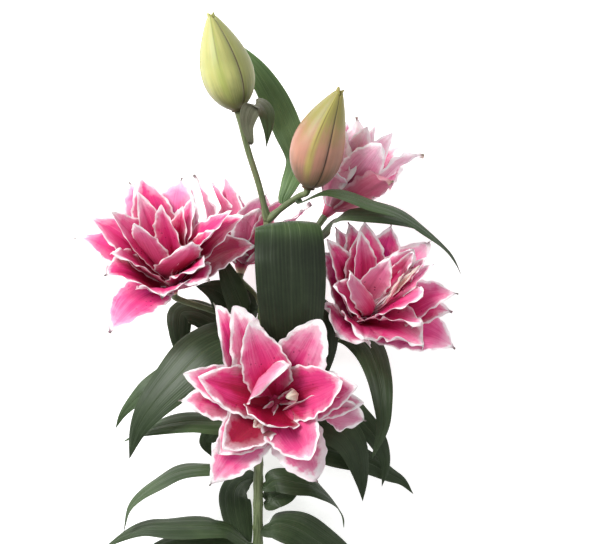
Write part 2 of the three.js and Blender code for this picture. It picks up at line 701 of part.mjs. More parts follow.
place('stem', stem(), material(PALE_GREEN, 0.55));
for (const [name, measures] of Object.entries(BLOOMS)) {
  const colour = name === 'back_right' ? PALE_PINK : PINK;
  place(`bloom_${name}`, bloom(measures), material(colour, 0.6));
}
place('bud_green', bud(BUDS.green), material(LIME, 0.5));
place('bud_blush', bud(BUDS.blush), material(BLUSH, 0.5));
for (const measures of LEAVES) {
  place(measures.name, leaf(measures), material(GREEN, 0.45));
}

export default lily;
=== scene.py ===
"""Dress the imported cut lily: five double blooms, two closed buds, the leaves and the stem.

The tables hold millimetres in the plan of the spray, as the part's source does: the stem runs
along +Y, the open blooms look up along +Z, and the surface is z = 0. The meshes are metres in
the part's own frame, whose origin is under the middle of the spray.
"""

import logging
from collections.abc import Callable
from dataclasses import dataclass, field
from enum import Enum

import bpy
import numpy as np
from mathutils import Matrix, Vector


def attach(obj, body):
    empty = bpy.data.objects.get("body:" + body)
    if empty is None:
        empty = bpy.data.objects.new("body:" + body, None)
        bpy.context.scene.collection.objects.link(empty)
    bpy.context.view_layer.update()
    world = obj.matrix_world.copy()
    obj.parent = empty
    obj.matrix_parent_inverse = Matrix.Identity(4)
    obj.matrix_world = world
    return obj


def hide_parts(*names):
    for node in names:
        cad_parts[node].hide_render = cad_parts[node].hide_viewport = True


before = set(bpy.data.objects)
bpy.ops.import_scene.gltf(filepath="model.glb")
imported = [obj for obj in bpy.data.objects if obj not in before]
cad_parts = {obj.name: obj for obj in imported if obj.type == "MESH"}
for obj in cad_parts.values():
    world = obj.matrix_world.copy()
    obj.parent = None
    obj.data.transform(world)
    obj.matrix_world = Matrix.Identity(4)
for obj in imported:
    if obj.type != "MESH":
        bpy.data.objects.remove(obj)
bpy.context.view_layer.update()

LOG = logging.getLogger("cut_lily")
MM = 0.001
SPRAY_CENTRE = np.array([-28.0, -63.0, 0.0])
SEED = 7
BLADE_END = 0.995
STRAIGHT = 0.05

Triple = tuple[float, float, float]
Colour = Triple


# ---- geometry tools


def unit(vectors: np.ndarray) -> np.ndarray:
    """Vectors scaled to length one, along the last axis."""
    return vectors / np.maximum(np.linalg.norm(vectors, axis=-1, keepdims=True), 1e-12)


def point(*values: float) -> np.ndarray:
    """A point or vector as an array of floats."""
    return np.array(values, dtype=float)


def smooth(values: np.ndarray, low: float, high: float) -> np.ndarray:
    """Smooth step from 0 at low to 1 at high: t * t * (3 - 2 * t)."""
    share = np.clip((values - low) / (high - low), 0.0, 1.0)
    return share * share * (3.0 - 2.0 * share)


def turn_onto(axis: np.ndarray) -> np.ndarray:
    """The least rotation that carries +Y onto an axis.

    Args:
        axis: the unit vector that +Y goes to.

    Returns:
        A 3 x 3 matrix, I + K + K K / (1 + c), with K the cross matrix of Y x axis and c the
        cosine between them.
    """
    up = point(0, 1, 0)
    x, y, z = np.cross(up, axis)
    cross = np.array([[0, -z, y], [z, 0, -x], [-y, x, 0]])
    return np.eye(3) + cross + cross @ cross / (1.0 + up @ axis)


class Spline:
    """A smooth cubic curve through free points, read by its own length."""

    DIVISIONS = 200
    LEAST_KNOT = 1e-4
    SLOPE_STEP = 1e-3

    def __init__(self, points: list[np.ndarray]) -> None:
        """Keep the points and measure the curve.

        Args:
            points: the free points. One more is added at each end: 2 * p0 - p1.
        """
        free = np.array(points, dtype=float)
        first = 2.0 * free[0] - free[1]
        last = 2.0 * free[-1] - free[-2]
        self.points = np.vstack([first, free, last])
        self.spans = len(free) - 1
        self.times = np.linspace(0.0, 1.0, self.DIVISIONS + 1)
        steps = np.linalg.norm(np.diff(self.at_time(self.times), axis=0), axis=1)
        self.lengths = np.concatenate([[0.0], np.cumsum(steps)])

    def at_time(self, times: np.ndarray) -> np.ndarray:
        """Points at the curve's own times.

        Args:
            times: values, kept from 0 to 1, each span taking an equal share.

        Returns:
            Points of a cubic span. Its slope at a free point is the slope from the point
            before, plus the slope to the point after, less the slope between those two,
            over steps of the square root of each chord.
        """
        place = np.clip(times, 0.0, 1.0) * self.spans
        span = np.minimum(place.astype(int), self.spans - 1)
        w = (place - span)[:, None]
        p0, p1, p2, p3 = (self.points[span + k] for k in range(4))
        d0, d1, d2 = (
            np.maximum(np.sqrt(np.linalg.norm(b - a, axis=1))[:, None], self.LEAST_KNOT)
            for a, b in ((p0, p1), (p1, p2), (p2, p3))
        )
        t1 = ((p1 - p0) / d0 - (p2 - p0) / (d0 + d1) + (p2 - p1) / d1) * d1
        t2 = ((p2 - p1) / d1 - (p3 - p1) / (d1 + d2) + (p3 - p2) / d2) * d1
        c2 = -3.0 * p1 + 3.0 * p2 - 2.0 * t1 - t2
        c3 = 2.0 * p1 - 2.0 * p2 + t1 + t2
        return p1 + w * (t1 + w * (c2 + w * c3))

    def read(self, shares: np.ndarray) -> tuple[np.ndarray, np.ndarray]:
        """Points and unit tangents at shares of the curve's length.

        Args:
            shares: values from 0 to 1.

        Returns:
            Points and tangents, one row for each share.
        """
        times = np.interp(shares * self.lengths[-1], self.lengths, self.times)
        ahead = self.at_time(times + self.SLOPE_STEP)
        behind = self.at_time(times - self.SLOPE_STEP)
        return self.at_time(times), unit(ahead - behind)

    @property
    def length(self) -> float:
        """The curve's whole length."""
        return float(self.lengths[-1])


def cells(grid: np.ndarray) -> np.ndarray:
    """The four corners of each cell of a grid, in order round it."""
    return np.stack([grid[:-1, :-1], grid[:-1, 1:], grid[1:, 1:], grid[1:, :-1]], axis=2)


@dataclass
class Skin:
    """Collects closed surfaces, each a grid of rings, and makes them one mesh object."""

    name: str
    points: list[np.ndarray] = field(default_factory=list)
    corners: list[np.ndarray] = field(default_factory=list)
    sizes: list[np.ndarray] = field(default_factory=list)
    uvs: list[np.ndarray] = field(default_factory=list)
    layers: dict[str, list[np.ndarray]] = field(default_factory=dict)
    count: int = 0

    def add(self, rings: np.ndarray, uv: np.ndarray, layers: dict[str, object]) -> None:
        """Add one closed surface.

        Args:
            rings: points, n rings of m points, which run round once. Each end is closed by
                a fan to the middle of its last ring.
            uv: n x (m + 1) pairs, with the first column repeated at the end of the round.
            layers: named numbers that spread over n x m, each kept as a point attribute.
        """
        n, m, _ = rings.shape
        poles = np.stack([rings[0].mean(axis=0), rings[-1].mean(axis=0)])
        self.points.append(np.concatenate([rings.reshape(-1, 3), poles]))
        index = self.count + np.arange(n * m).reshape(n, m)
        index = np.concatenate([index, index[:, :1]], axis=1)
        self.corners.append(cells(index).ravel())
        self.uvs.append(cells(uv).reshape(-1, 2))
        for end, turn in ((0, -1), (-1, 1)):
            line = np.stack([index[end, :-1], index[end, 1:]], axis=1)[:, ::turn]
            line_uv = np.stack([uv[end, :-1], uv[end, 1:]], axis=1)[:, ::turn]
            pole = np.full((m, 1), self.count + n * m - end)
            pole_uv = line_uv.mean(axis=1, keepdims=True)
            self.corners.append(np.hstack([line, pole]).ravel())
            self.uvs.append(np.hstack([line_uv, pole_uv]).reshape(-1, 2))
        self.sizes += [np.full((n - 1) * m, 4), np.full(2 * m, 3)]
        for key, given in layers.items():
            grid = np.broadcast_to(given, (n, m))
            ends = [grid[0].mean(), grid[-1].mean()]
            self.layers.setdefault(key, []).append(np.append(grid, ends))
        self.count += n * m + 2

    def build(self, material: bpy.types.Material, node: str, slot: str) -> bpy.types.Object:
        """Make the mesh object, in metres in the part's frame, and let it stand for a solid.

        What would dip below the surface that the part lies on is flattened against it.

        Args:
            material: the finish of all its faces.
            node: the solid that it stands for.
            slot: the record's slot; not used.

        Returns:
            The linked object, smooth shaded, with its UV map and point attributes. It rides
            on the part's one body.
        """
        place = (np.concatenate(self.points) - SPRAY_CENTRE) * MM
        place[:, 2] = place[:, 2].clip(0.0)
        corners = np.concatenate(self.corners).astype(np.int32)
        sizes = np.concatenate(self.sizes).astype(np.int32)
        starts = np.concatenate([[0], np.cumsum(sizes)[:-1]]).astype(np.int32)
        mesh = bpy.data.meshes.new(self.name)
        mesh.vertices.add(len(place))
        mesh.vertices.foreach_set("co", place.astype(np.float32).ravel())
        mesh.loops.add(len(corners))
        mesh.loops.foreach_set("vertex_index", corners)
        mesh.polygons.add(len(sizes))
        mesh.polygons.foreach_set("loop_start", starts)
        mesh.polygons.foreach_set("use_smooth", np.ones(len(sizes), bool))
        mesh.update(calc_edges=True)
        flat = np.concatenate(self.uvs).astype(np.float32).ravel()
        mesh.uv_layers.new(name="surface").data.foreach_set("uv", flat)
        for key, grids in self.layers.items():
            layer = mesh.attributes.new(key, "FLOAT", "POINT")
            layer.data.foreach_set("value", np.concatenate(grids).astype(np.float32))
        mesh.materials.append(material)
        mesh.validate()
        made = bpy.data.objects.new(self.name, mesh)
        bpy.context.scene.collection.objects.link(made)
        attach(made, "root")
        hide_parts(node)
        LOG.info("%s: %d faces, for %s", made.name, len(mesh.polygons), node)
        return made


def uv_grid(along: np.ndarray, around: np.ndarray) -> np.ndarray:
    """The UV pairs of a grid, from its shares along and its shares around."""
    return np.stack(np.broadcast_arrays(along[:, None], around[None, :]), axis=-1)


def round_uv(along: np.ndarray, sides: int) -> np.ndarray:
    """The UV grid of a tube, which runs round it once."""
    return uv_grid(along, np.linspace(0.0, 1.0, sides + 1))


def blade_shares(rows: int, power: float) -> np.ndarray:
    """Shares of a blade's length, closer toward its tip: 1 - (1 - t) ** power."""
    return 1.0 - (1.0 - np.linspace(0.0, BLADE_END, rows)) ** power


def blade_places(columns: int) -> np.ndarray:
    """Places across a blade from -1 to 1, closer toward its edges: sin(pi t / 2)."""
    return np.sin(np.pi / 2.0 * np.linspace(-1.0, 1.0, columns))


@dataclass
class Blade:
    """A thin sheet round a midline, with a rounded edge: a petal's or a leaf's.

    along: the n shares of its length. across: the k places across, from -1 to 1. middle, side
    and upper: n points, and the ways across and up there. x and lift: how far each of the
    n x k points lies across and up. thickness: at the midline.
    """

    along: np.ndarray
    across: np.ndarray
    middle: np.ndarray
    side: np.ndarray
    upper: np.ndarray
    x: np.ndarray
    lift: np.ndarray
    thickness: float

    @property
    def places(self) -> np.ndarray:
        """The place across of each point of a ring."""
        return np.concatenate([self.across, self.across[-2:0:-1]])

    @property
    def under(self) -> np.ndarray:
        """For each point of a ring 0 on the upper face, 1 on the lower and 0.5 at the edge."""
        count = len(self.across)
        under = np.concatenate([np.zeros(count), np.ones(count - 2)])
        under[[0, count - 1]] = 0.5
        return under

    def add_to(self, skin: Skin, layers: dict[str, object]) -> None:
        """Add the blade to a skin, in rings over its upper face and back under the lower.

        Args:
            skin: what collects the surfaces.
            layers: named numbers that spread over the rings' points.

        A face stands off the middle surface along its normal by half of the thickness times
        the root of 1 - v ** 4.
        """
        surface = (
            self.middle[:, None]
            + self.side[:, None] * self.x[:, :, None]
            + self.upper[:, None] * self.lift[:, :, None]
        )
        run, width = np.gradient(surface, axis=0), np.gradient(surface, axis=1)
        half = 0.5 * self.thickness * np.sqrt(np.clip(1.0 - self.across**4, 0.0, 1.0))
        off = unit(np.cross(width, run)) * half[None, :, None]
        rings = np.concatenate([surface + off, (surface - off)[:, -2:0:-1]], axis=1)
        around = (np.append(self.places, self.places[0]) + 1.0) / 2.0
        skin.add(rings, uv_grid(self.along, around), layers)


def turns(sides: int) -> np.ndarray:
    """The angles of a ring's points, evenly round it, in radians."""
    return 2.0 * np.pi * np.arange(sides) / sides


def ring_tube(centres: np.ndarray, tangents: np.ndarray, radii: np.ndarray) -> np.ndarray:
    """Rings round a centre line.

    Args:
        centres: n points.
        tangents: n unit tangents.
        radii: the radius at each of the n x m points.

    Returns:
        n x m points: centre + r * (cos(a) * across + sin(a) * up). across is square to the
        tangent and leans on the normal of the first and last tangents, or of the first
        tangent and +Z where the line hardly turns.
    """
    plane = np.cross(tangents[0], tangents[-1])
    if np.linalg.norm(plane) < STRAIGHT:
        plane = np.cross(tangents[0], point(0, 0, 1))
    across = unit(plane - (tangents @ plane)[:, None] * tangents)
    up = np.cross(tangents, across)
    angle = turns(radii.shape[1])[None, :, None]
    spoke = np.cos(angle) * across[:, None] + np.sin(angle) * up[:, None]
    return centres[:, None] + radii[:, :, None] * spoke


def lathe(foot: np.ndarray, axis: np.ndarray, radii: np.ndarray, height: object) -> np.ndarray:
    """Rings round a straight axis.

    Args:
        foot: the point where the height is 0.
        axis: the unit vector along which the height grows.
        radii: the radius at each of the n x m points.
        height: the heights, which spread over them.

    Returns:
        n x m points.
    """
    angle = turns(radii.shape[1])
    height = np.broadcast_to(height, radii.shape)
    local = np.stack([radii * np.cos(angle), height, -radii * np.sin(angle)], axis=-1)
    return foot + local @ turn_onto(axis).T


# ---- shader tools


def linear(red: int, green: int, blue: int) -> Colour:
    """A display colour as linear light, by the sRGB curve.

    Args:
        red: the display's red, 0 to 255.
        green: its green.
        blue: its blue.

    Returns:
        The three shares of linear light, 0 to 1.
    """
    share = np.array([red, green, blue]) / 255.0
    low, high = share / 12.92, ((share + 0.055) / 1.055) ** 2.4
    return tuple(float(x) for x in np.where(share <= 0.04045, low, high))


def operator(operation: str, reflected: bool = False) -> Callable:
    """A method of Value that adds a Math node.

    Args:
        operation: the node's operation.
        reflected: whether the value is the second of the two.

    Returns:
        The method.
    """

    def method(self: "Value", other: "Value | float") -> "Value":
        """Add the node, whose two numbers are the value and the other."""
        return self.math(operation, *((other, self) if reflected else (self, other)))

    return method


class Value:
    """A number socket of a material. Arithmetic on it adds Math nodes."""

    def __init__(self, board: "Board", socket: bpy.types.NodeSocket) -> None:
        """Wrap a socket of a board's node tree."""
        self.board = board
        self.socket = socket

    def math(self, operation: str, *values: "Value | float") -> "Value":
        """A Math node of an operation on these values."""
        made = self.board.add("Math", {"operation": operation}, dict(enumerate(values)))
        return Value(self.board, made.outputs[0])

    __add__ = __radd__ = operator("ADD")
    __mul__ = __rmul__ = operator("MULTIPLY")
    __sub__ = operator("SUBTRACT")
    __rsub__ = operator("SUBTRACT", reflected=True)
    __truediv__ = operator("DIVIDE")

    def __abs__(self) -> "Value":
        """Size without its sign."""
        return self.math("ABSOLUTE", self)

    def sine(self) -> "Value":
        """Sine of an angle in radians."""
        return self.math("SINE", self)

    def step(self, low: float, high: float) -> "Value":
        """Smooth step, which falls where low is the greater.

        Args:
            low: where it is 0.
            high: where it is 1.

        Returns:
            The step, 0 to 1.
        """
        falls = low > high
        ends = (high, low) if falls else (low, high)
        made = self.board.add(
            "MapRange",
            {"interpolation_type": "SMOOTHSTEP"},
            {"Value": self, "From Min": ends[0], "From Max": ends[1]},
        )
        value = Value(self.board, made.outputs["Result"])
        return 1.0 - value if falls else value


class Board:
    """A material's node tree, to which nodes are added in one way.

    SHIFT: how far apart surface_noise reads two blades. MIX: the numbers of a colour Mix
    node's two inputs and its output.
    """

    SHIFT = 37.0
    MIX = (6, 7, 2)

    def __init__(self, name: str) -> None:
        """Start a material with a Principled shader.

        Args:
            name: the material's.
        """
        self.material = bpy.data.materials.new(name)
        self.material.use_nodes = True
        self.tree = self.material.node_tree
        self.shader = self.tree.nodes["Principled BSDF"]
        self.place = self.add("TexCoord", {}, {}).outputs["Object"]
        split = self.add("SeparateXYZ", {}, {"Vector": self.add("UVMap", {}, {}).outputs[0]})
        self.u = Value(self, split.outputs["X"])
        self.v = Value(self, split.outputs["Y"])

    def plug(self, target: bpy.types.NodeSocket, source: object) -> None:
        """Link or set one socket.

        Args:
            target: the input.
            source: a value, a socket, a number or a colour.
        """
        if isinstance(source, Value):
            source = source.socket
        if isinstance(source, bpy.types.NodeSocket):
            self.tree.links.new(source, target)
        elif isinstance(source, tuple) and target.type == "RGBA":
            target.default_value = (*source, 1.0)
        else:
            target.default_value = source

    def add(self, kind: str, settings: dict, sockets: dict) -> bpy.types.Node:
        """Add a node.

        Args:
            kind: its type, without the ShaderNode before it.
            settings: its own properties, set first.
            sockets: values or links by the name or number of its inputs.

        Returns:
            The node.
        """
        made = self.tree.nodes.new("ShaderNode" + kind)
        for key, setting in settings.items():
            setattr(made, key, setting)
        for key, source in sockets.items():
            self.plug(made.inputs[key], source)
        return made

    def layer(self, name: str) -> Value:
        """A point attribute of the piece as a number."""
        made = self.add("Attribute", {"attribute_name": name}, {})
        return Value(self, made.outputs["Fac"])

    def noise(self, scale: float, detail: float = 2.0, place: object = None) -> Value:
        """Soft noise, 0 to 1.

        Args:
            scale: how many features there are in a unit of place.
            detail: the octaves of finer noise.
            place: where it is read, or the point on the object, in metres.

        Returns:
            The noise.
        """
        place = self.place if place is None else place
        made = self.add("TexNoise", {}, {"Vector": place, "Scale": scale, "Detail": detail})
        return Value(self, made.outputs["Fac"])

    def surface_noise(self, along: float, across: float, shift: Value) -> Value:
        """Noise drawn out along a piece's own length.

        Args:
            along: features in the piece's length.
            across: features in its width.
            shift: a number that differs from one blade to the next.

        Returns:
            The noise, 0 to 1.
        """
        axes = {"X": self.u * along, "Y": self.v * across, "Z": shift * self.SHIFT}
        return self.noise(1.0, 3.0, self.add("CombineXYZ", {}, axes).outputs[0])

    def mix(self, low: object, high: object, share: Value) -> bpy.types.NodeSocket:
        """Blend two colours.

        Args:
            low: a colour or link, where the share is 0.
            high: a colour or link, where the share is 1.
            share: the blend.

        Returns:
            The colour's socket.
        """
        first, second, result = self.MIX
        sockets = {"Factor": share, first: low, second: high}
        return self.add("Mix", {"data_type": "RGBA"}, sockets).outputs[result]

    def paint(self, colour: object, *coats: tuple[object, Value]) -> bpy.types.NodeSocket:
        """Lay coats over a first colour in turn.

        Args:
            colour: the first colour, or a link.
            coats: each a colour or link, and the share that it takes.

        Returns:
            The colour's socket.
        """
        for coat, share in coats:
            colour = self.mix(colour, coat, share)
        return colour

    def shade(self, colour: object, factor: Value) -> bpy.types.NodeSocket:
        """A colour made darker or lighter by a factor."""
        sockets = {0: colour, "Scale": factor}
        return self.add("VectorMath", {"operation": "SCALE"}, sockets).outputs[0]

    def finish(self, colour: object, height: Value, relief: float, **more: object) -> None:
        """Plug the shader.

        Args:
            colour: the base colour.
            height: the bump's height, as a share of the relief.
            relief: what a height of 1 stands for, in metres.
            more: other sockets, with _ for each space in their names.
        """
        bump = self.add("Bump", {}, {"Height": height, "Distance": relief, "Strength": 1.0})
        self.plug(self.shader.inputs["Base Color"], colour)
        self.plug(self.shader.inputs["Normal"], bump.outputs[0])
        for key, source in more.items():
            self.plug(self.shader.inputs[key.replace("_", " ")], source)


# ---- finishes


@dataclass(frozen=True)
class PetalFinish:
    """The look of a petal: crimson throat, pink blade, white wavy margin, mauve back.

    fade: how strongly the margin's white spreads inward. VEINS: the radians of the veins'
    wave from midline to edge. FRECKLES: the cells in a metre. RELIEF: the bump, in metres.
    """

    name: str
    throat: Colour
    deep: Colour
    body: Colour
    light: Colour
    margin: Colour
    back: Colour
    back_pale: Colour
    spot: Colour
    cream: Colour
    claw: Colour
    fade: float

    VEINS = 31.0
    FRECKLES = 230.0
    RELIEF = 0.0005

    def freckles(self, board: Board, side: Value, under: Value) -> Value:
        """Dots low on the upper face, one in some of the cells of a scattered grid.

        Args:
            board: the material's board.
            side: the place across, -1 to 1.
            under: how far the face is the lower one.

        Returns:
            Where the dots are, 0 to 1.
        """
        dots = board.add("TexVoronoi", {}, {"Vector": board.place, "Scale": self.FRECKLES})
        kept = board.add("SeparateColor", {}, {"Color": dots.outputs["Color"]})
        dot = Value(board, dots.outputs["Distance"]).step(0.24, 0.16)
        chosen = Value(board, kept.outputs[0]).step(0.62, 0.66)
        zone = board.u.step(0.12, 0.22) * board.u.step(0.72, 0.5) * abs(side).step(0.85, 0.6)
        return dot * chosen * zone * under.step(0.2, 0.1)

    def material(self) -> bpy.types.Material:
        """Make the material.

        Returns:
            A material that reads the petal's own length and width, its distance from the
            edge in millimetres, its rim width, its tone and which face it is.
        """
        board = Board(self.name)
        u, side = board.u, board.v * 2.0 - 1.0
        layers = ("edge", "rim", "tone", "under", "seed", "cream", "claw")
        edge, rim, tone, under, seed, cream, claw = map(board.layer, layers)
        broad = board.noise(45.0)
        fine = board.noise(420.0, 3.0)
        fan = board.surface_noise(2.5, 46.0, seed)
        drift = board.surface_noise(2.0, 7.0, seed)
        patch = board.surface_noise(9.0, 3.0, seed).step(0.3, 0.7)
        vein = (side * self.VEINS + (drift - 0.5) * 16.0).sine().step(0.1, 1.0)
        # Painted light and shade: keel, a darker band along the midline, is partly the petal's
        # own deeper crimson and partly painted shade in its groove; the petal's tone, set one by
        # one, partly paints how brightly each petal is lit.
        keel = abs(side).step(0.3, 0.0) * u.step(1.0, 0.5) * 0.16
        grade = u * 0.7 + (tone - 0.5) * 0.8 + (fan - 0.5) * 0.42 + (broad - 0.5) * 0.5 - keel
        back = board.mix(self.back, self.back_pale, (u + (fan - 0.5) * 0.7).step(0.25, 0.9))
        colour = board.paint(
            self.throat,
            (self.deep, grade.step(-0.05, 0.2)),
            (self.body, grade.step(0.12, 0.5)),
            (self.light, grade.step(0.5, 0.98)),
            (back, under),
            (self.light, (1.0 - abs(side)).step(0.03, 0.0) * 0.5),
            (self.spot, self.freckles(board, side, under) * 0.7),
        )
        tip = u.step(0.72, 1.0)
        reach = edge / (rim * (0.28 + patch * 0.8 + fine * 0.4) * (1.0 + tip * 0.6))
        colour = board.paint(
            board.shade(colour, 1.02 - vein * 0.05 + (fan - 0.5) * 0.16),
            (self.margin, reach.step(4.0, 0.4) * (0.22 + tip * 0.4) * self.fade),
            (self.margin, reach.step(1.25, 0.45) * (0.8 + patch * 0.18)),
            (self.cream, cream),
            (self.claw, claw),
        )
        board.finish(
            colour,
            vein * 0.12 + fan * 0.6 + fine * 0.5,
            self.RELIEF,
            Roughness=0.46 + broad * 0.12,
            Subsurface_Weight=0.3,
            Subsurface_Scale=0.006,
            Subsurface_Radius=(1.0, 0.55, 0.8),
            Specular_IOR_Level=0.25,
        )
        return board.material


@dataclass(frozen=True)
class LeafFinish:
    """The look of a leaf: dark satin green with parallel veins and a paler back.

    FINE_VEINS and MAIN_VEINS: the radians of their waves from midline to edge.
    """

    name: str
    dark: Colour
    light: Colour
    vein: Colour
    back: Colour
    ruddy: Colour

    FINE_VEINS = 62.0
    MAIN_VEINS = 15.7
    RELIEF = 0.0004

    def material(self) -> bpy.types.Material:
        """Make the material.

        Returns:
            A material that follows the leaf's own length and width.
        """
        board = Board(self.name)
        u, side = board.u, board.v * 2.0 - 1.0
        tone, under, painted_highlight, ruddy = map(board.layer, ("tone", "under", "painted_highlight", "ruddy"))
        broad = board.noise(22.0)
        mottle = board.noise(160.0, 3.0)
        fan = board.surface_noise(4.0, 60.0, tone)
        drift = board.surface_noise(3.0, 3.0, tone)
        fine = (side * self.FINE_VEINS + (drift - 0.5) * 3.0).sine()
        main = (side * self.MAIN_VEINS + (drift - 0.5) * 2.4).sine().step(0.9, 1.0)
        rib = abs(side).step(0.05, 0.0)
        lines = main * drift.step(0.3, 0.7) * (0.12 + u.step(0.45, 0.1) * 0.22)
        colour = board.paint(
            self.dark,
            (self.light, (broad * 0.6 + fan * 0.5).step(0.3, 0.85)),
            (self.back, under.step(0.3, 0.7)),
            (self.ruddy, ruddy * (0.6 + broad * 0.6)),
            (self.vein, lines + rib * 0.12),
            (self.vein, (1.0 - abs(side)).step(0.05, 0.0) * 0.2),
        )
        # Painted light and shade: the leaf's tone and its painted highlight band at the first
        # bend make the whole colour lighter or darker.
        shade = 0.55 + (tone + painted_highlight) * 0.9 + fine * 0.05 + (mottle - 0.5) * 0.2
        board.finish(
            board.shade(colour, shade),
            fine * 0.08 + main * 0.2 + mottle * 0.25 - rib * 0.6,
            self.RELIEF,
            Roughness=0.38 + fan * 0.14 + under * 0.15,
            Specular_IOR_Level=0.32,
        )
        return board.material


@dataclass(frozen=True)
class BudFinish:
    """The look of a closed bud: three lobes with ribs, seams and a gradient to the tip.

    painted_flank_shade: how far a painted shade on one flank, the one turned from the light,
    takes the colour of its foot. PAINTED_SHADE_TURN: where that flank starts, in radians
    round the bud.
    """

    name: str
    low: Colour
    middle: Colour
    high: Colour
    rib: Colour
    seam: Colour
    painted_flank_shade: float

    PAINTED_SHADE_TURN = 4.27
    RELIEF = 0.0004

    def material(self) -> bpy.types.Material:
        """Make the material.

        Returns:
            A material that reads the bud's height and place across each lobe.
        """
        board = Board(self.name)
        u = board.u
        lobe, rib, tone = map(board.layer, ("lobe", "rib", "tone"))
        broad = board.noise(60.0)
        fine = board.noise(500.0, 3.0)
        streak = board.surface_noise(3.0, 70.0, tone)
        ripe = u + ((broad - 0.5) * 0.25 + (streak - 0.5) * 0.25)
        # Painted shade: one flank, turned from the light, is darkened toward the foot's colour.
        painted_flank_shade = (board.v * 2.0 * np.pi - self.PAINTED_SHADE_TURN).sine().step(0.35, 1.0) * self.painted_flank_shade
        soft = (rib + (streak - 0.5) * 0.08).step(0.22, 0.04) * u.step(0.05, 0.3)
        line = rib.step(0.045, 0.015) * u.step(0.3, 0.7)
        seam = lobe.step(0.955, 0.985)
        colour = board.paint(
            self.low,
            (self.middle, ripe.step(0.02, 0.42)),
            (self.high, ripe.step(0.43, 0.8)),
            (self.low, painted_flank_shade),
            (self.rib, soft * 0.7),
            (self.seam, seam * 0.85),
            (self.seam, line * 0.6),
            (self.seam, u.step(0.06, 0.0) * 0.6),
        )
        # Painted shade: darker beside the seams, where the lobes curve in.
        painted_seam_shade = lobe.step(0.7, 0.96) * 0.12
        blotch = (board.noise(28.0) - 0.5) * 0.8 * u.step(0.8, 0.5)
        board.finish(
            board.shade(colour, 0.96 - painted_seam_shade + blotch + (streak - 0.5) * 0.24),
            streak * 0.5 + fine * 0.3 - seam * 0.8,
            self.RELIEF,
            Roughness=0.42 + streak * 0.12,
            Subsurface_Weight=0.1,
            Subsurface_Scale=0.004,
        )
        return board.material


@dataclass(frozen=True)
class StemFinish:
    """The look of the stem: dull green with pale streaks and brownish patches."""

    name: str
    dark: Colour
    light: Colour
    blush: Colour

    RELIEF = 0.0004

    def material(self) -> bpy.types.Material:
        """Make the material.

        Returns:
            A material that is streaked along the stem.
        """
        board = Board(self.name)
        streak = board.surface_noise(9.0, 26.0, board.layer("tone"))
        broad = board.noise(30.0)
        fine = board.noise(600.0, 3.0)
        colour = board.paint(
            self.dark,
            (self.light, (streak * 0.7 + broad * 0.5).step(0.35, 0.8)),
            (self.blush, (broad - 0.55).step(0.0, 0.15) * 0.35),
        )
        board.finish(
            board.shade(colour, 0.92 + fine * 0.18),
            streak * 0.6 + fine * 0.4,
            self.RELIEF,
            Roughness=0.45 + streak * 0.15,
        )
        return board.material


PINK = PetalFinish(
    name="petal_pink",
    throat=linear(140, 8, 44),
    deep=linear(164, 12, 60),
    body=linear(212, 50, 114),
    light=linear(230, 124, 162),
    margin=linear(253, 243, 247),
    back=linear(186, 78, 116),
    back_pale=linear(196, 130, 154),
    spot=linear(92, 2, 28),
    cream=linear(220, 204, 172),
    claw=linear(92, 88, 76),
    fade=0.8,
)
PALE_PINK = PetalFinish(
    name="petal_pale",
    throat=linear(150, 42, 74),
    deep=linear(190, 70, 112),
    body=linear(217, 102, 140),
    light=linear(241, 174, 198),
    margin=linear(250, 242, 246),
    back=linear(214, 108, 144),
    back_pale=linear(238, 186, 204),
    spot=linear(150, 42, 74),
    cream=linear(166, 58, 82),
    claw=linear(120, 108, 84),
    fade=1.05,
)
GREEN = LeafFinish(
    name="leaf_green",
    dark=linear(36, 51, 28),
    light=linear(66, 84, 52),
    vein=linear(112, 128, 88),
    back=linear(92, 108, 80),
    ruddy=linear(84, 79, 66),
)
STEM_GREEN = StemFinish(
    name="stem_green",
    dark=linear(66, 80, 46),
    light=linear(118, 130, 90),
    blush=linear(98, 80, 60),
)
LIME = BudFinish(
    name="bud_lime",
    low=linear(102, 110, 60),
    middle=linear(172, 172, 104),
    high=linear(178, 176, 108),
    rib=linear(148, 158, 78),
    seam=linear(88, 62, 56),
    painted_flank_shade=0.5,
)
BLUSH = BudFinish(
    name="bud_blush",
    low=linear(124, 104, 82),
    middle=linear(184, 132, 110),
    high=linear(146, 138, 74),
    rib=linear(176, 168, 84),
    seam=linear(84, 66, 50),
    painted_flank_shade=0.0,
)


# ---- stem

# SKIN_IN: how much thinner than the solid's the stem's skin is before its rings and ridges.
STEM_BOTTOM_Y = -362.0
STEM_TOP_Y = 51.0
STEM_RADIUS = 5.4
STEM_TOP_RADIUS = 3.9
STEM_RISE = 92.0
STEM_LEAN = 10.0
STEM_LEFT_X = -37.0
SEAT_GAP = 0.35
LEAF_GAP = 0.5
LEAF_HEEL = 4.0
RECEPTACLE_DEPTH = 8.5
RECEPTACLE_PROFILE = ((3.6, -RECEPTACLE_DEPTH), (6.2, -1), (6.2, 4), (3, 16))
PEDICEL_RADIUS = 3.4
PEDICEL_STRAIGHT = 5.0
SKIN_IN = 0.35


def stem_share(y: float) -> float:
    """The share of the stem below a height y."""
    return (y - STEM_BOTTOM_Y) / (STEM_TOP_Y - STEM_BOTTOM_Y)


def stem_centre(y: float) -> np.ndarray:
    """The stem's centre: it rises steadily and leans by the cube of its share."""
    t = stem_share(y)
    return point(STEM_LEFT_X + STEM_LEAN * t**3, y, STEM_RADIUS + STEM_RISE * t)


def stem_radius(y: float) -> float:
    """The stem's radius, which falls evenly to the fork."""
    return STEM_RADIUS + (STEM_TOP_RADIUS - STEM_RADIUS) * stem_share(y)


@dataclass(frozen=True)
class Pedicel:
    """A flower's stalk: the height at which it leaves the stem, and its free points."""

    y: float
    via: tuple[Triple, ...]


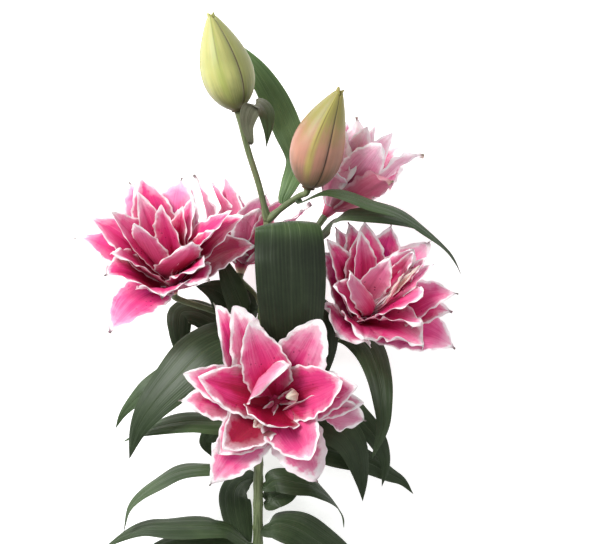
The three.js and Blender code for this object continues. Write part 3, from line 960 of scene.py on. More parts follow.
PEDICELS = {
    "front": Pedicel(-146, ((-31, -133, 78),)),
    "left": Pedicel(-54, ((-72, -38, 66),)),
    "right": Pedicel(-104, ((3, -82, 68),)),
    "back_right": Pedicel(-30, ((-8, 2, 76),)),
    "back_left": Pedicel(-38, ((-41, -20, 58),)),
    "green": Pedicel(48, ((-35, 80, 108), (-45, 112, 120))),
    "blush": Pedicel(48, ((-11, 61, 106), (3, 70, 114))),
}


# ---- petals and blooms


@dataclass(frozen=True)
class RingForm:
    """How the petals of one ring grow, lengths in millimetres.

    root_out and root_up: where a petal grows, out from the flower's axis and along it.
    rise and spread: how it leaves. recurve: how far its tip bends back. cup: the angle, in
    radians, through which each half of its width bends up. rim: its white margin. back: how
    mauve its back is. claw: the share of its length that is a thin dark claw. fresh: the
    share of its length from which a cream one turns cream.
    """

    root_out: float
    root_up: float
    rise: float
    spread: float
    recurve: float
    cup: float
    rim: float
    back: float
    claw: float = 0.0
    fresh: float = -0.4


class Ring(Enum):
    """The rings of a double bloom, from the outside in."""

    OUTER = RingForm(5, 0, 0.6, 0.8, 0.75, 0.32, 3.2, 0.9, 0.035)
    MIDDLE = RingForm(4.5, 5, 0.8, 0.6, 0.4, 0.48, 2.8, 0.7)
    INNER = RingForm(3, 10, 0.94, 0.34, 0.12, 0.64, 2.2, 0.4)
    HEART = RingForm(1.5, 14, 0.8, 0.6, -0.6, 1.0, 2.2, 0.4, fresh=0.25)


@dataclass(frozen=True)
class Petal:
    """One petal: its tip from the bloom's foot, its greatest width and its edge's wave.

    turn: degrees that its blade turns about its own length. cup: its own bend across, where
    it isn't its ring's. grow: the side of the flower's axis on which it grows, where that
    isn't the side of its tip. spread and curl: its own, where they aren't its ring's spread
    and recurve. arch: how many times further it bulges. hook: how far its tip turns back over
    the flower's axis. full: how fast it narrows, less for a blunt tip. rim: how many times
    wider its white margin is. tone: how light its colour is, 0.5 for its finish's own; set
    petal by petal, it is partly the petal's own depth of colour and partly painted light and
    shade for how brightly each petal is lit. cream: how far it takes its finish's cream colour.
    """

    x: float
    y: float
    z: float
    width: float
    wave: float
    turn: float = 0.0
    cup: float | None = None
    grow: Triple | None = None
    spread: float | None = None
    curl: float | None = None
    arch: float = 1.0
    hook: float = 0.0
    full: float = 0.8
    rim: float = 1.0
    tone: float = 0.5
    cream: float = 0.0


PETAL_ROWS = 44
PETAL_COLUMNS = 21
PETAL_EDGE = 0.62
ROOT_PULL = 0.42
TIP_PULL = 0.34
CLAW_HALF = 0.7
CREAM_RISE = 0.4
TONE_SPREAD = 0.1
FRILL_LEAST = 0.35
FRILL_HEIGHT = 2.0
RIPPLE_HEIGHT = 5.0
GROOVE_DEPTH = 1.3
GROOVE_WIDTH = 0.14
PLEAT_HEIGHT = 0.12
PLEAT_TURNS = 7.0
LEAST_BEND = 1e-3


def petal_outline(u: np.ndarray, full: float) -> np.ndarray:
    """The share of the greatest width: sin(pi u^0.9)^full + 0.16 (1 - u)^2."""
    return np.sin(np.pi * u**0.9).clip(0.0) ** full + 0.16 * (1.0 - u) ** 2


@dataclass
class Bloom:
    """One double bloom: its receptacle and the petals of its rings."""

    name: str
    foot: np.ndarray
    axis: np.ndarray
    rings: dict[Ring, tuple[Petal, ...]]
    finish: PetalFinish = PINK
    slot: str = "petals"

    SIDES = 24
    NAME_STEP = 31

    def __post_init__(self) -> None:
        """Give the axis the length one and start the bloom's own random draws."""
        self.axis = unit(self.axis)
        own = len(self.name) * self.NAME_STEP + int(self.foot[0])
        self.random = np.random.default_rng(SEED + own)

    def petal(self, skin: Skin, form: RingForm, petal: Petal, order: int) -> None:
        """Add one petal to the bloom's skin.

        Args:
            skin: what collects the bloom's surfaces.
            form: the ring's way of growing.
            petal: the petal's own measures.
            order: its number in the bloom, which sets the phase of its wave.

        The midline is a cubic curve from the root, leaving along the ring's rise and spread,
        to the tip, which leans by its curl and hook. arch scales its two handles. Across it
        a point lies on an arc: x = h sin(c v) / c and a lift of h (1 - cos(c v)) / c, with h
        the half width and c the bend, which falls to 0.4 of itself at the tip. A slow ripple,
        a fine ruffle of the edges, a groove along the middle and soft pleats are added to
        the lift. An outer petal ends in a thin claw.
        """
        reach = point(petal.x, petal.y, petal.z)
        toward = reach if petal.grow is None else point(*petal.grow)
        outward = unit(toward - (toward @ self.axis) * self.axis)
        start = self.foot + self.axis * form.root_up + outward * form.root_out
        tip = self.foot + reach
        length = float(np.linalg.norm(tip - start))
        away = unit(tip - start)
        spread = form.spread if petal.spread is None else petal.spread
        leaving = unit(self.axis * form.rise + outward * spread)
        curl = form.recurve if petal.curl is None else petal.curl
        ending = unit(away - self.axis * curl - outward * petal.hook)
        first, last = ROOT_PULL * length * petal.arch, TIP_PULL * length * petal.arch
        controls = np.stack([start, start + first * leaving, tip - last * ending, tip])
        u = blade_shares(PETAL_ROWS, 1.15)
        w = 1.0 - u
        middle = np.stack([w**3, 3 * w**2 * u, 3 * w * u**2, u**3], -1) @ controls
        slopes = np.diff(controls, axis=0)
        forward = unit(np.stack([w**2, 2 * w * u, u**2], axis=-1) @ slopes)
        side = unit(np.cross(outward, self.axis))
        inner = unit(np.cross(side, forward))
        turn = np.radians(petal.turn) * np.sqrt(u)[:, None]
        side, inner = (
            np.cos(turn) * side + np.sin(turn) * inner,
            np.cos(turn) * inner - np.sin(turn) * side,
        )
        across = blade_places(PETAL_COLUMNS)
        v, row = across[None, :], u[:, None]
        phase, twin, beat, drift = self.random.uniform(0.0, 2.0 * np.pi, 4)
        span = length * row
        frill = (FRILL_LEAST + petal.wave) * smooth(row, 0.15, 0.55) * smooth(row, 1.0, 0.9)
        uneven = 0.035 * np.sin(span / 3.1 + beat) + 0.03 * np.sin(span / 1.5 + drift)
        wide = np.minimum(row / (1.0 - form.claw), 1.0)
        wide = 0.5 * petal.width * petal_outline(wide, petal.full)
        claw = smooth(row, 1.0 - 2.0 * form.claw, 1.001 - form.claw) * (form.claw > 0.0)
        half = wide * (1.0 + uneven * np.abs(v) ** 3) + CLAW_HALF * claw
        bend = (form.cup if petal.cup is None else petal.cup) * (1.0 - 0.6 * row) + LEAST_BEND
        ripple = np.sin(7.0 * row + 2.4 * v + 1.7 * order) * v**2
        wave = np.sin(span / 2.6 + phase + 0.8 * np.sin(span / 6.0)) * (v > 0)
        wave = wave + np.sin(span / 3.0 + twin + 0.8 * np.sin(span / 5.0)) * (v <= 0)
        groove = np.exp(-((v / GROOVE_WIDTH) ** 2)) * smooth(row, 1.0, 0.75)
        pleat = np.cos(PLEAT_TURNS * np.pi * v) * (1.0 - v**2) * smooth(row, 1.0, 0.7)
        lift = (
            half * (1.0 - np.cos(bend * v)) / bend
            + RIPPLE_HEIGHT * petal.wave * row * ripple
            + FRILL_HEIGHT * frill * wave * np.abs(v) ** 4
            - GROOVE_DEPTH * groove
            + PLEAT_HEIGHT * pleat
        )
        x = half * np.sin(bend * v) / bend
        blade = Blade(u, across, middle, side, inner, x, lift, PETAL_EDGE)
        seed = self.random.uniform(0.0, 1.0)
        to_side = wide * (1.0 - np.abs(blade.places)[None, :])
        layers = {
            "edge": np.minimum(to_side, length * (1.0 - row)),
            "under": form.back * blade.under,
            "tone": petal.tone + TONE_SPREAD * (seed - 0.5),
            "seed": seed,
            "rim": form.rim * petal.rim,
            "cream": petal.cream * smooth(row, form.fresh, form.fresh + CREAM_RISE),
            "claw": claw * smooth(row, 0.9, 1.0),
        }
        blade.add_to(skin, layers)

    def receptacle(self, skin: Skin) -> None:
        """Add the foot, which widens from the stalk and narrows again among the petals.

        Args:
            skin: what collects the bloom's surfaces.
        """
        radius, at = np.array(RECEPTACLE_PROFILE, dtype=float).T
        height = np.linspace(at[0], at[-1], self.SIDES)
        radii = np.broadcast_to(np.interp(height, at, radius)[:, None], (self.SIDES, self.SIDES))
        layers = {
            "edge": 20.0,
            "under": 0.5,
            "tone": 0.6,
            "seed": 0.4,
            "rim": 1.0,
            "cream": 0.9 * smooth(height, -2.0, -8.0)[:, None],
            "claw": 0.0,
        }
        uv = round_uv(np.linspace(0.0, 0.1, self.SIDES), self.SIDES)
        skin.add(lathe(self.foot, self.axis, radii, height[:, None]), uv, layers)

    def build(self) -> bpy.types.Object:
        """Build the bloom's one object, which stands for its solid.

        Returns:
            The dressed bloom.
        """
        skin = Skin(f"lily_{self.name}")
        self.receptacle(skin)
        grown = [(ring.value, petal) for ring, petals in self.rings.items() for petal in petals]
        for order, (form, petal) in enumerate(grown):
            self.petal(skin, form, petal, order)
        return skin.build(self.finish.material(), f"bloom_{self.name}", self.slot)


# Each petal's tone is set one by one, partly for its own depth of colour and partly as painted
# light and shade for how brightly it is lit.
BLOOMS = (
    Bloom(
        name="front",
        foot=point(-19, -120, 106),
        axis=point(0.03, 0.1, 1),
        rings={
            Ring.OUTER: (
                Petal(-57, 92, 36, 42, 0.2, cup=0.2, grow=(-1, 0.35, 0), full=0.7, rim=1.3,
                      tone=0.3),
                Petal(45, 58, 34, 42, 0.3, rim=2.0),
                Petal(82, -16, 18, 50, 0.5, turn=160, full=0.6),
                Petal(38, -72, 18, 48, 0.5, full=0.65, rim=3, tone=0.7),
                Petal(-61, -75, 20, 44, 0.3, rim=1.4, tone=0.8),
                Petal(-89, 3, 26, 38, 0.4, rim=1.4, tone=0.2),
            ),
            Ring.MIDDLE: (
                Petal(-39, 89, 50, 46, 0.2, cup=0.25, grow=(-1, 0.9, 0), full=0.65, rim=2.4,
                      tone=0.7),
                Petal(41, 77, 52, 50, 0.3, full=0.6, rim=2.2, tone=0.85),
                Petal(74, 17, 40, 46, 0.3, tone=0.6),
                Petal(80, 1, 28, 34, 0.4, tone=0.6),
                Petal(-53, -45, 34, 46, 0.6, tone=0.6),
                Petal(-84, 28, 42, 40, 0.3),
            ),
            Ring.INNER: (
                Petal(-24, 75, 64, 44, 0.1, rim=1.3, tone=0.75),
                Petal(60, 22, 54, 50, 0.3, full=0.7, rim=1.2, tone=0.55),
                Petal(30, -50, 50, 52, 0.5, full=0.65, rim=1.6, tone=0.62),
                Petal(-48, -40, 48, 46, 0.3, rim=1.3, tone=-0.4),
                Petal(-70, 25, 56, 46, 0.35, rim=1.3, tone=0.35),
            ),
            Ring.HEART: (
                Petal(-9, -18, 62, 52, 0.5, cup=0.5, full=0.45, tone=0.05),
                Petal(9, 32, 60, 46, 0.6, cup=0.55, grow=(-1, 0.8, 0), spread=1.5, curl=0.8,
                      arch=1.5, hook=0.5, full=0.45, rim=1.2, tone=1.2),
                Petal(9, 7, 54, 15, 0.3, cup=1.2, grow=(1, 0.3, 0), spread=1.2, curl=1, arch=1.3,
                      hook=1.2, full=0.5, tone=1, cream=0.7),
                Petal(-19, -20, 54, 12, 0.3, cup=0.9, full=0.4, tone=1, cream=0.6),
            ),
        },
    ),
    Bloom(
        name="left",
        foot=point(-115, -13, 85),
        axis=point(-0.12, 0.72, 0.68),
        rings={
            Ring.OUTER: (
                Petal(-40, 96, 4, 44, 0.2, full=0.5, tone=0.85),
                Petal(9, 100, 8, 48, 0.2, full=0.6, tone=0.85),
                Petal(-90, 44, 14, 38, 0.3),
                Petal(-56, -43, 40, 50, 0.5, tone=0.85),
                Petal(79, 37, 9, 46, 0.2, tone=0.05),
                Petal(36, 5, 62, 46, 0.5, tone=0.5),
                Petal(-60, 9, 53, 52, 0.5, full=0.65, tone=0.4),
                Petal(-7, -11, 73, 54, 0.6, tone=0.5),
            ),
            Ring.MIDDLE: (
                Petal(-29, 100, 20, 42, 0.2, full=0.65, tone=0.4),
                Petal(-75, 63, 34, 42, 0.2, tone=0.6),
                Petal(67, 64, 40, 42, 0.2, tone=0.25),
                Petal(22, 94, 15, 24, 0.1, tone=0.6),
                Petal(-53, 30, 70, 36, 0.4, tone=0.6),
                Petal(32, 19, 73, 36, 0.6, tone=0.45),
            ),
            Ring.INNER: (
                Petal(-54, 68, 50, 38, 0.1, tone=0.7),
                Petal(-30, 86, 40, 26, 0.1, tone=0.7),
                Petal(20, 81, 38, 28, 0.2, tone=0.65),
                Petal(11, 73, 43, 26, 0.2, tone=0.2),
                Petal(56, 69, 58, 32, 0.1),
                Petal(-32, 57, 72, 36, 0.1, turn=-35, tone=0.6),
                Petal(-8, 74, 62, 30, 0.1, tone=0.7),
                Petal(41, 51, 73, 30, 0.1, tone=0.3),
            ),
            Ring.HEART: (
                Petal(21, 40, 75, 38, 0.3, cup=0.5, grow=(0.1, -0.68, 0.72), tone=0.6),
            ),
        },
    ),
    Bloom(
        name="right",
        foot=point(54, -46, 85),
        axis=point(0.4, 0.52, 0.75),
        rings={
            Ring.OUTER: (
                Petal(-7, 92, 6, 34, 0.1, tone=0.3),
                Petal(-19, 88, -1, 30, 0.1, tone=0.3),
                Petal(33, 90, 2, 42, 0.1, tone=0.25),
                Petal(68, 74, 15, 38, 0.8, full=0.6, tone=0.8),
                Petal(94, 26, 27, 42, 0.3, tone=0.7),
                Petal(89, 9, 15, 40, 0.3, tone=0.3),
                Petal(91, -25, 20, 56, 0.3, tone=0.75),
                Petal(-19, -12, 43, 54, 1.1, full=0.5, rim=1.8, tone=0.8),
                Petal(-32, 65, 20, 38, 0.3, tone=0.3),
            ),
            Ring.MIDDLE: (
                Petal(8, 92, 24, 44, 0.1, tone=0.6),
                Petal(-27, 76, 40, 34, 0.1, tone=0.35),
                Petal(61, -22, 43, 46, 1.5, full=0.55, rim=1.4, tone=0.85),
                Petal(7, -15, 53, 46, 0.6, tone=0.7),
                Petal(51, 67, 55, 32, 1.2, full=0.5, tone=0.7),
            ),
            Ring.INNER: (
                Petal(4, 83, 48, 32, 0.1, cup=0.8, tone=0.75),
                Petal(30, 58, 65, 30, 0.3, turn=50, tone=1.4),
                Petal(60, 26, 67, 46, 0.4, full=0.5, tone=0.8),
                Petal(-21, 33, 65, 38, 0.6, cup=0.6, tone=0.75),
                Petal(70, 53, 55, 22, 0.5, tone=0.8),
                Petal(59, 0, 60, 32, 0.9, cup=0.9, full=0.55, tone=0.85),
            ),
            Ring.HEART: (
                Petal(-6, 46, 75, 23, 0.6, cup=0.9, grow=(0.6, -0.5, 0.3), full=0.6, tone=1.1),
                Petal(52, 64, 61, 16, 0.9, cup=1.2, full=0.4, tone=0.6),
                Petal(63, 58, 55, 16, 0.9, cup=1.2, full=0.4, tone=0.3),
                Petal(57, 52, 61, 8, 0.2, cup=1.2, cream=0.55),
                Petal(43, 45, 67, 7, 0, cup=1.2, cream=0.55),
            ),
        },
    ),
    Bloom(
        name="back_right",
        foot=point(31, 59, 82),
        axis=point(0.58, 0.8, -0.05),
        finish=PALE_PINK,
        slot="petals_pale",
        rings={
            Ring.OUTER: (
                Petal(86, 48, 20, 24, 0.6, tone=0.4),
                Petal(56, 23, 46, 30, 1.0, full=0.5, tone=0, cream=0.8),
                Petal(23, 83, 28, 36, 0.3, rim=2.5, tone=1),
                Petal(-23, 67, -25, 36, 0.2),
                Petal(13, 83, -50, 36, 0.2),
                Petal(68, 44, -82, 40, 0.2),
                Petal(40, 9, 10, 30, 0.3, full=0.5, tone=0, cream=0.65),
            ),
            Ring.MIDDLE: (
                Petal(46, 57, 52, 34, 0.2, full=0.65, tone=0.6),
                Petal(57, 69, 18, 28, 0.2, tone=0.3),
                Petal(33, 74, 34, 32, 0.2, tone=0.7),
                Petal(10, 77, 22, 34, 0.1, rim=2.5, tone=0.9),
                Petal(41, 75, 28, 20, 0.1, tone=0),
                Petal(18, 76, -30, 30, 0),
                Petal(64, 58, -48, 30, 0.1),
            ),
            Ring.INNER: (
                Petal(6, 32, 42, 17, 0.1, tone=1),
                Petal(29, 62, 8, 26, 0),
                Petal(44, 53, -15, 26, 0),
            ),
        },
    ),
    Bloom(
        name="back_left",
        foot=point(-52, 7, 62),
        axis=point(0.08, 0.96, -0.15),
        rings={
            Ring.OUTER: (
                Petal(-44, 84, 2, 30, 0.5, curl=0.2, tone=0.7),
                Petal(24, 65, 14, 48, 0.1),
                Petal(66, 56, 0, 40, 0.8, curl=0.2, full=0.6, tone=0.7),
                Petal(11, 8, 8, 40, 0.4),
                Petal(-37, 36, -62, 36, 0.2),
                Petal(13, 39, -58, 40, 0.3),
                Petal(46, 30, -40, 34, 0.3),
            ),
            Ring.MIDDLE: (
                Petal(-16, 84, 4, 36, 0.4, tone=0.6),
                Petal(43, 63, 2, 38, 0.1),
                Petal(-8, 59, -45, 34, 0.2),
                Petal(17, 52, 18, 36, 0.1),
            ),
            Ring.INNER: (
                Petal(-30, 82, -2, 26, 0.4, tone=0.8),
                Petal(-5, 68, 10, 26, 0),
                Petal(20, 48, -10, 26, 0),
                Petal(0, 50, -18, 22, 0),
            ),
        },
    ),
)


# ---- buds


@dataclass
class Bud:
    """A closed bud: three lobes that meet in seams and part at the tip.

    radius: its greatest radius. bow: how far its middle stands out of line. roll: degrees
    that its lobes are turned. lean: degrees from a lobe's middle to its rib.
    """

    name: str
    foot: np.ndarray
    tip: np.ndarray
    radius: float
    bow: np.ndarray
    roll: float
    lean: float
    finish: BudFinish

    ROWS = 90
    SIDES = 96
    END = 0.985
    FOOT_WIDTH = 0.25
    TIP_WIDTH = 0.15
    LOBE_SWELL = 0.06
    SEAM_DEPTH = 0.055
    SEAM_WIDTH = 0.05
    RIDGE_HEIGHT = 0.02
    RIDGE_WIDTH = 0.12
    NOTCH = 7.0

    def build(self) -> bpy.types.Object:
        """Build the bud's object.

        Returns:
            The bud. Its radius at a share u of its length is R sin(pi u^0.7)^0.85, and no
            less than 0.25 R at the foot and 0.15 R at the tip, times 1 + 0.06 cos(3 a) round
            the axis, less a groove at each seam and plus a low ridge along each lobe. The
            seams open at the tip, and a notch there parts the lobes.
        """
        axis = self.tip - self.foot
        length = float(np.linalg.norm(axis))
        u = np.linspace(0.0, self.END, self.ROWS)
        angle = turns(self.SIDES)
        body = np.maximum(np.sin(np.pi * u**0.7).clip(0.0) ** 0.85, self.TIP_WIDTH)
        body = np.maximum(body, self.FOOT_WIDTH * smooth(u, 0.08, 0.0))
        third = np.cos(3.0 * (angle - np.radians(self.roll)))
        lobe = np.arccos(third) / np.pi
        rib = np.arccos(np.cos(3.0 * (angle - np.radians(self.roll + self.lean)))) / np.pi
        open_end = 1.0 + 10.0 * smooth(u, 0.86, 1.0)[:, None]
        seam = self.SEAM_DEPTH * np.exp(-(((1.0 - lobe) / self.SEAM_WIDTH) ** 2)) * open_end
        ridge = self.RIDGE_HEIGHT * np.exp(-((rib / self.RIDGE_WIDTH) ** 2))
        swell = 1.0 + self.LOBE_SWELL * third - seam + ridge * smooth(u, 0.1, 0.4)[:, None]
        radii = self.radius * body[:, None] * swell
        height = (length * u)[:, None] - self.NOTCH * smooth(u, 0.92, 0.985)[:, None] * lobe**2
        bend = np.sin(np.pi * u)[:, None, None] * self.bow
        rings = lathe(self.foot, unit(axis), radii, height) + bend
        skin = Skin(f"lily_bud_{self.name}")
        skin.add(rings, round_uv(u, self.SIDES), {"lobe": lobe, "rib": rib, "tone": 0.5})
        node = f"bud_{self.name}"
        return skin.build(self.finish.material(), node, node)


BUDS = (
    Bud(
        name="green",
        foot=point(-54, 147, 132),
        tip=point(-79, 236, 150),
        radius=24,
        bow=point(-1, 0, 0),
        roll=8,
        lean=13,
        finish=LIME,
    ),
    Bud(
        name="blush",
        foot=point(10, 77, 121),
        tip=point(40, 167, 158),
        radius=24.5,
        bow=point(-5, 0, 0),
        roll=0,
        lean=22,
        finish=BLUSH,
    ),
)


def pedicel_curve(name: str) -> Spline:
    """The centre line of a flower's stalk.

    Args:
        name: the flower's.

    Returns:
        A curve from inside the stem to the flower's seat.
    """
    stalk = PEDICELS[name]
    bud = next((b for b in BUDS if b.name == name), None)
    if bud:
        look, seat, foot = unit(bud.tip - bud.foot), SEAT_GAP, bud.foot
    else:
        bloom = next(b for b in BLOOMS if b.name == name)
        look, seat, foot = bloom.axis, RECEPTACLE_DEPTH + SEAT_GAP, bloom.foot
    end = foot - look * seat
    via = [point(*p) for p in stalk.via]
    return Spline([stem_centre(stalk.y), *via, end - look * PEDICEL_STRAIGHT, end])


@dataclass
class Stem:
    """The stem with its forked stalks, its leaf scars and its straight cut."""

    SIDES = 28
    ROWS = 220
    SCAR_SWELL = 0.5
    SCAR_LENGTH = 3.0
    RIDGES = 7.0
    RIDGE_HEIGHT = 0.12
    CUT_WIDTH = 0.94
    STALK_SIDES = 20
    STALK_ROWS = 60
    STALK_IN = 0.5
    STALK_FLARE = 1.1
    STALK_SWELL = 0.5

    def trunk(self, skin: Skin) -> None:
        """Add the stem, a tapered round rod with a low ring at each leaf.

        Args:
            skin: what collects the stem's surfaces.
        """
        share = np.linspace(0.0, 1.0, self.ROWS)
        y = STEM_BOTTOM_Y + (STEM_TOP_Y - STEM_BOTTOM_Y) * share
        centres = np.stack([stem_centre(height) for height in y])
        tangents = unit(np.gradient(centres, axis=0))
        scars = np.array([leaf.y for leaf in LEAVES if leaf.y is not None])
        near = np.exp(-(((y[:, None] - scars[None, :]) / self.SCAR_LENGTH) ** 2)).max(axis=1)
        radii = stem_radius(y) + self.SCAR_SWELL * near - SKIN_IN
        ridge = self.RIDGE_HEIGHT * np.cos(self.RIDGES * turns(self.SIDES))[None, :]
        rings = ring_tube(centres, tangents, radii[:, None] + ridge)
        rings[0] = centres[0] + (rings[0] - centres[0]) * self.CUT_WIDTH
        skin.add(rings, round_uv(share * 3.0, self.SIDES), {"tone": 0.1})

    def stalk(self, skin: Skin, name: str, tone: float) -> None:
        """Add a flower's stalk, thicker where it leaves the stem and at its flower.

        Args:
            skin: what collects the stem's surfaces.
            name: the flower's.
            tone: a number that gives the stalk its own streaks.
        """
        line = pedicel_curve(name)
        share = np.linspace(0.0, 1.0, self.STALK_ROWS)
        centres, tangents = line.read(share)
        flare = self.STALK_FLARE * smooth(share * line.length, 16.0, 4.0)
        radii = PEDICEL_RADIUS - self.STALK_IN + flare
        radii = radii + self.STALK_SWELL * smooth(share, 0.86, 1.0)
        grid = np.broadcast_to(radii[:, None], (self.STALK_ROWS, self.STALK_SIDES))
        uv = round_uv(share, self.STALK_SIDES)
        skin.add(ring_tube(centres, tangents, grid), uv, {"tone": tone})

    def build(self) -> bpy.types.Object:
        """Build the stem's one object.

        Returns:
            The stem with its stalks.
        """
        skin = Skin("lily_stem")
        self.trunk(skin)
        for order, name in enumerate(PEDICELS):
            self.stalk(skin, name, 0.2 + 0.1 * order)
        return skin.build(STEM_GREEN.material(), "stem", "stem")


# ---- leaves

LEAF_FACING = ((0, 0.8, 0.6), (0, 0.3, 1))
LEAF_FULLNESS = 0.95
LEAF_SKEW = 0.72
LEAF_EDGE = 0.6
LEAF_ROWS = 70
LEAF_COLUMNS = 25
LEAF_ROOT = 0.22
LEAF_ARCH = 0.12
LEAF_WAVE = 0.8
LEAF_GROOVE = 0.7
LEAF_GROOVE_WIDTH = 0.07
LEAF_PLEAT = 0.25
LEAF_PLEAT_TURNS = 5.0
PAINTED_HIGHLIGHT_AT = 0.22
PAINTED_HIGHLIGHT_WIDTH = 0.05


@dataclass(frozen=True)
class Leaf:
    """One leaf: where it grows, its width, its midrib's free points and how it faces.

    y, or stalk and share: its place on the stem or on a flower's stalk. facing: the way its
    upper face looks, at the root and at the tip. fullness: how fast it narrows, less for
    broad ends. skew: the power that moves its widest place, toward the tip as it grows.
    tone: how light it is, 0.5 for its finish's own; set leaf by leaf, it is partly painted
    light and shade for how brightly each leaf is lit. painted_highlight: how much lighter a
    painted highlight makes it at its first bend. ruddy: how far it is brown-grey instead of
    green, from its root to past its middle.
    """

    name: str
    width: float
    via: tuple[Triple, ...]
    y: float | None = None
    stalk: str = ""
    share: float = 0.0
    facing: tuple[Triple, Triple] = LEAF_FACING
    fullness: float = LEAF_FULLNESS
    skew: float = LEAF_SKEW
    tone: float = 0.5
    painted_highlight: float = 0.0
    ruddy: float = 0.0

    def midrib(self) -> Spline:
        """The midrib's line.

        Returns:
            A curve that leaves its carrier straight out for a few millimetres.
        """
        if self.stalk:
            places, runs = pedicel_curve(self.stalk).read(np.array([self.share]))
            centre, run, radius = places[0], runs[0], PEDICEL_RADIUS
        else:
            centre, run, radius = stem_centre(self.y), point(0, 1, 0), stem_radius(self.y)
        outward = point(*self.via[0]) - centre
        outward = unit(outward - (outward @ run) * run)
        seat = radius + LEAF_GAP
        heel = [centre + outward * seat, centre + outward * (seat + LEAF_HEEL)]
        return Spline([*heel, *(point(*p) for p in self.via)])

    def build(self, material: bpy.types.Material, number: int) -> bpy.types.Object:
        """Build the leaf.

        Args:
            material: the leaves' finish.
            number: its place in the table, which seeds its waves.

        Returns:
            The leaf. Its half width is W (sin(pi u^s)^f + 0.22 (1 - u)^2). Across, it
            arches by -0.12 h v^2, with a groove at the midrib, pleats at the main veins and
            a slow wave of its edges.
        """
        random = np.random.default_rng(SEED + number)
        line = self.midrib()
        u = blade_shares(LEAF_ROWS, 1.1)
        middle, forward = line.read(u)
        start, end = (point(*way) for way in self.facing)
        look = start + (end - start) * u[:, None]
        side = unit(np.cross(forward, look))
        upper = unit(np.cross(side, forward))
        across = blade_places(LEAF_COLUMNS)
        v, row = across[None, :], u[:, None]
        outline = np.sin(np.pi * row**self.skew).clip(0.0) ** self.fullness
        half = 0.5 * self.width * (outline + LEAF_ROOT * (1.0 - row) ** 2)
        first, second = random.uniform(0.0, 2.0 * np.pi, 2)
        span = line.length * row
        inside = smooth(row, 0.1, 0.3) * smooth(row, 1.0, 0.85)
        wave = np.sin(span / 9.0 + first) * (v > 0) + np.sin(span / 10.0 + second) * (v <= 0)
        groove = np.exp(-((v / LEAF_GROOVE_WIDTH) ** 2)) * smooth(row, 1.0, 0.85)
        pleat = np.cos(LEAF_PLEAT_TURNS * np.pi * v) * inside * (1.0 - v**2)
        lift = (
            LEAF_WAVE * wave * inside * np.abs(v) ** 3
            - LEAF_ARCH * half * v**2
            - LEAF_GROOVE * groove
            + LEAF_PLEAT * pleat
        )
        blade = Blade(u, across, middle, side, upper, half * v, lift, LEAF_EDGE)
        layers = {
            "under": blade.under,
            "tone": self.tone,
            # A painted highlight: a lighter band across the leaf at its first bend.
            "painted_highlight": self.painted_highlight * np.exp(-(((row - PAINTED_HIGHLIGHT_AT) / PAINTED_HIGHLIGHT_WIDTH) ** 2)),
            "ruddy": self.ruddy * smooth(row, 0.75, 0.5),
        }
        skin = Skin(f"lily_{self.name}")
        blade.add_to(skin, layers)
        return skin.build(material, self.name, "leaves")


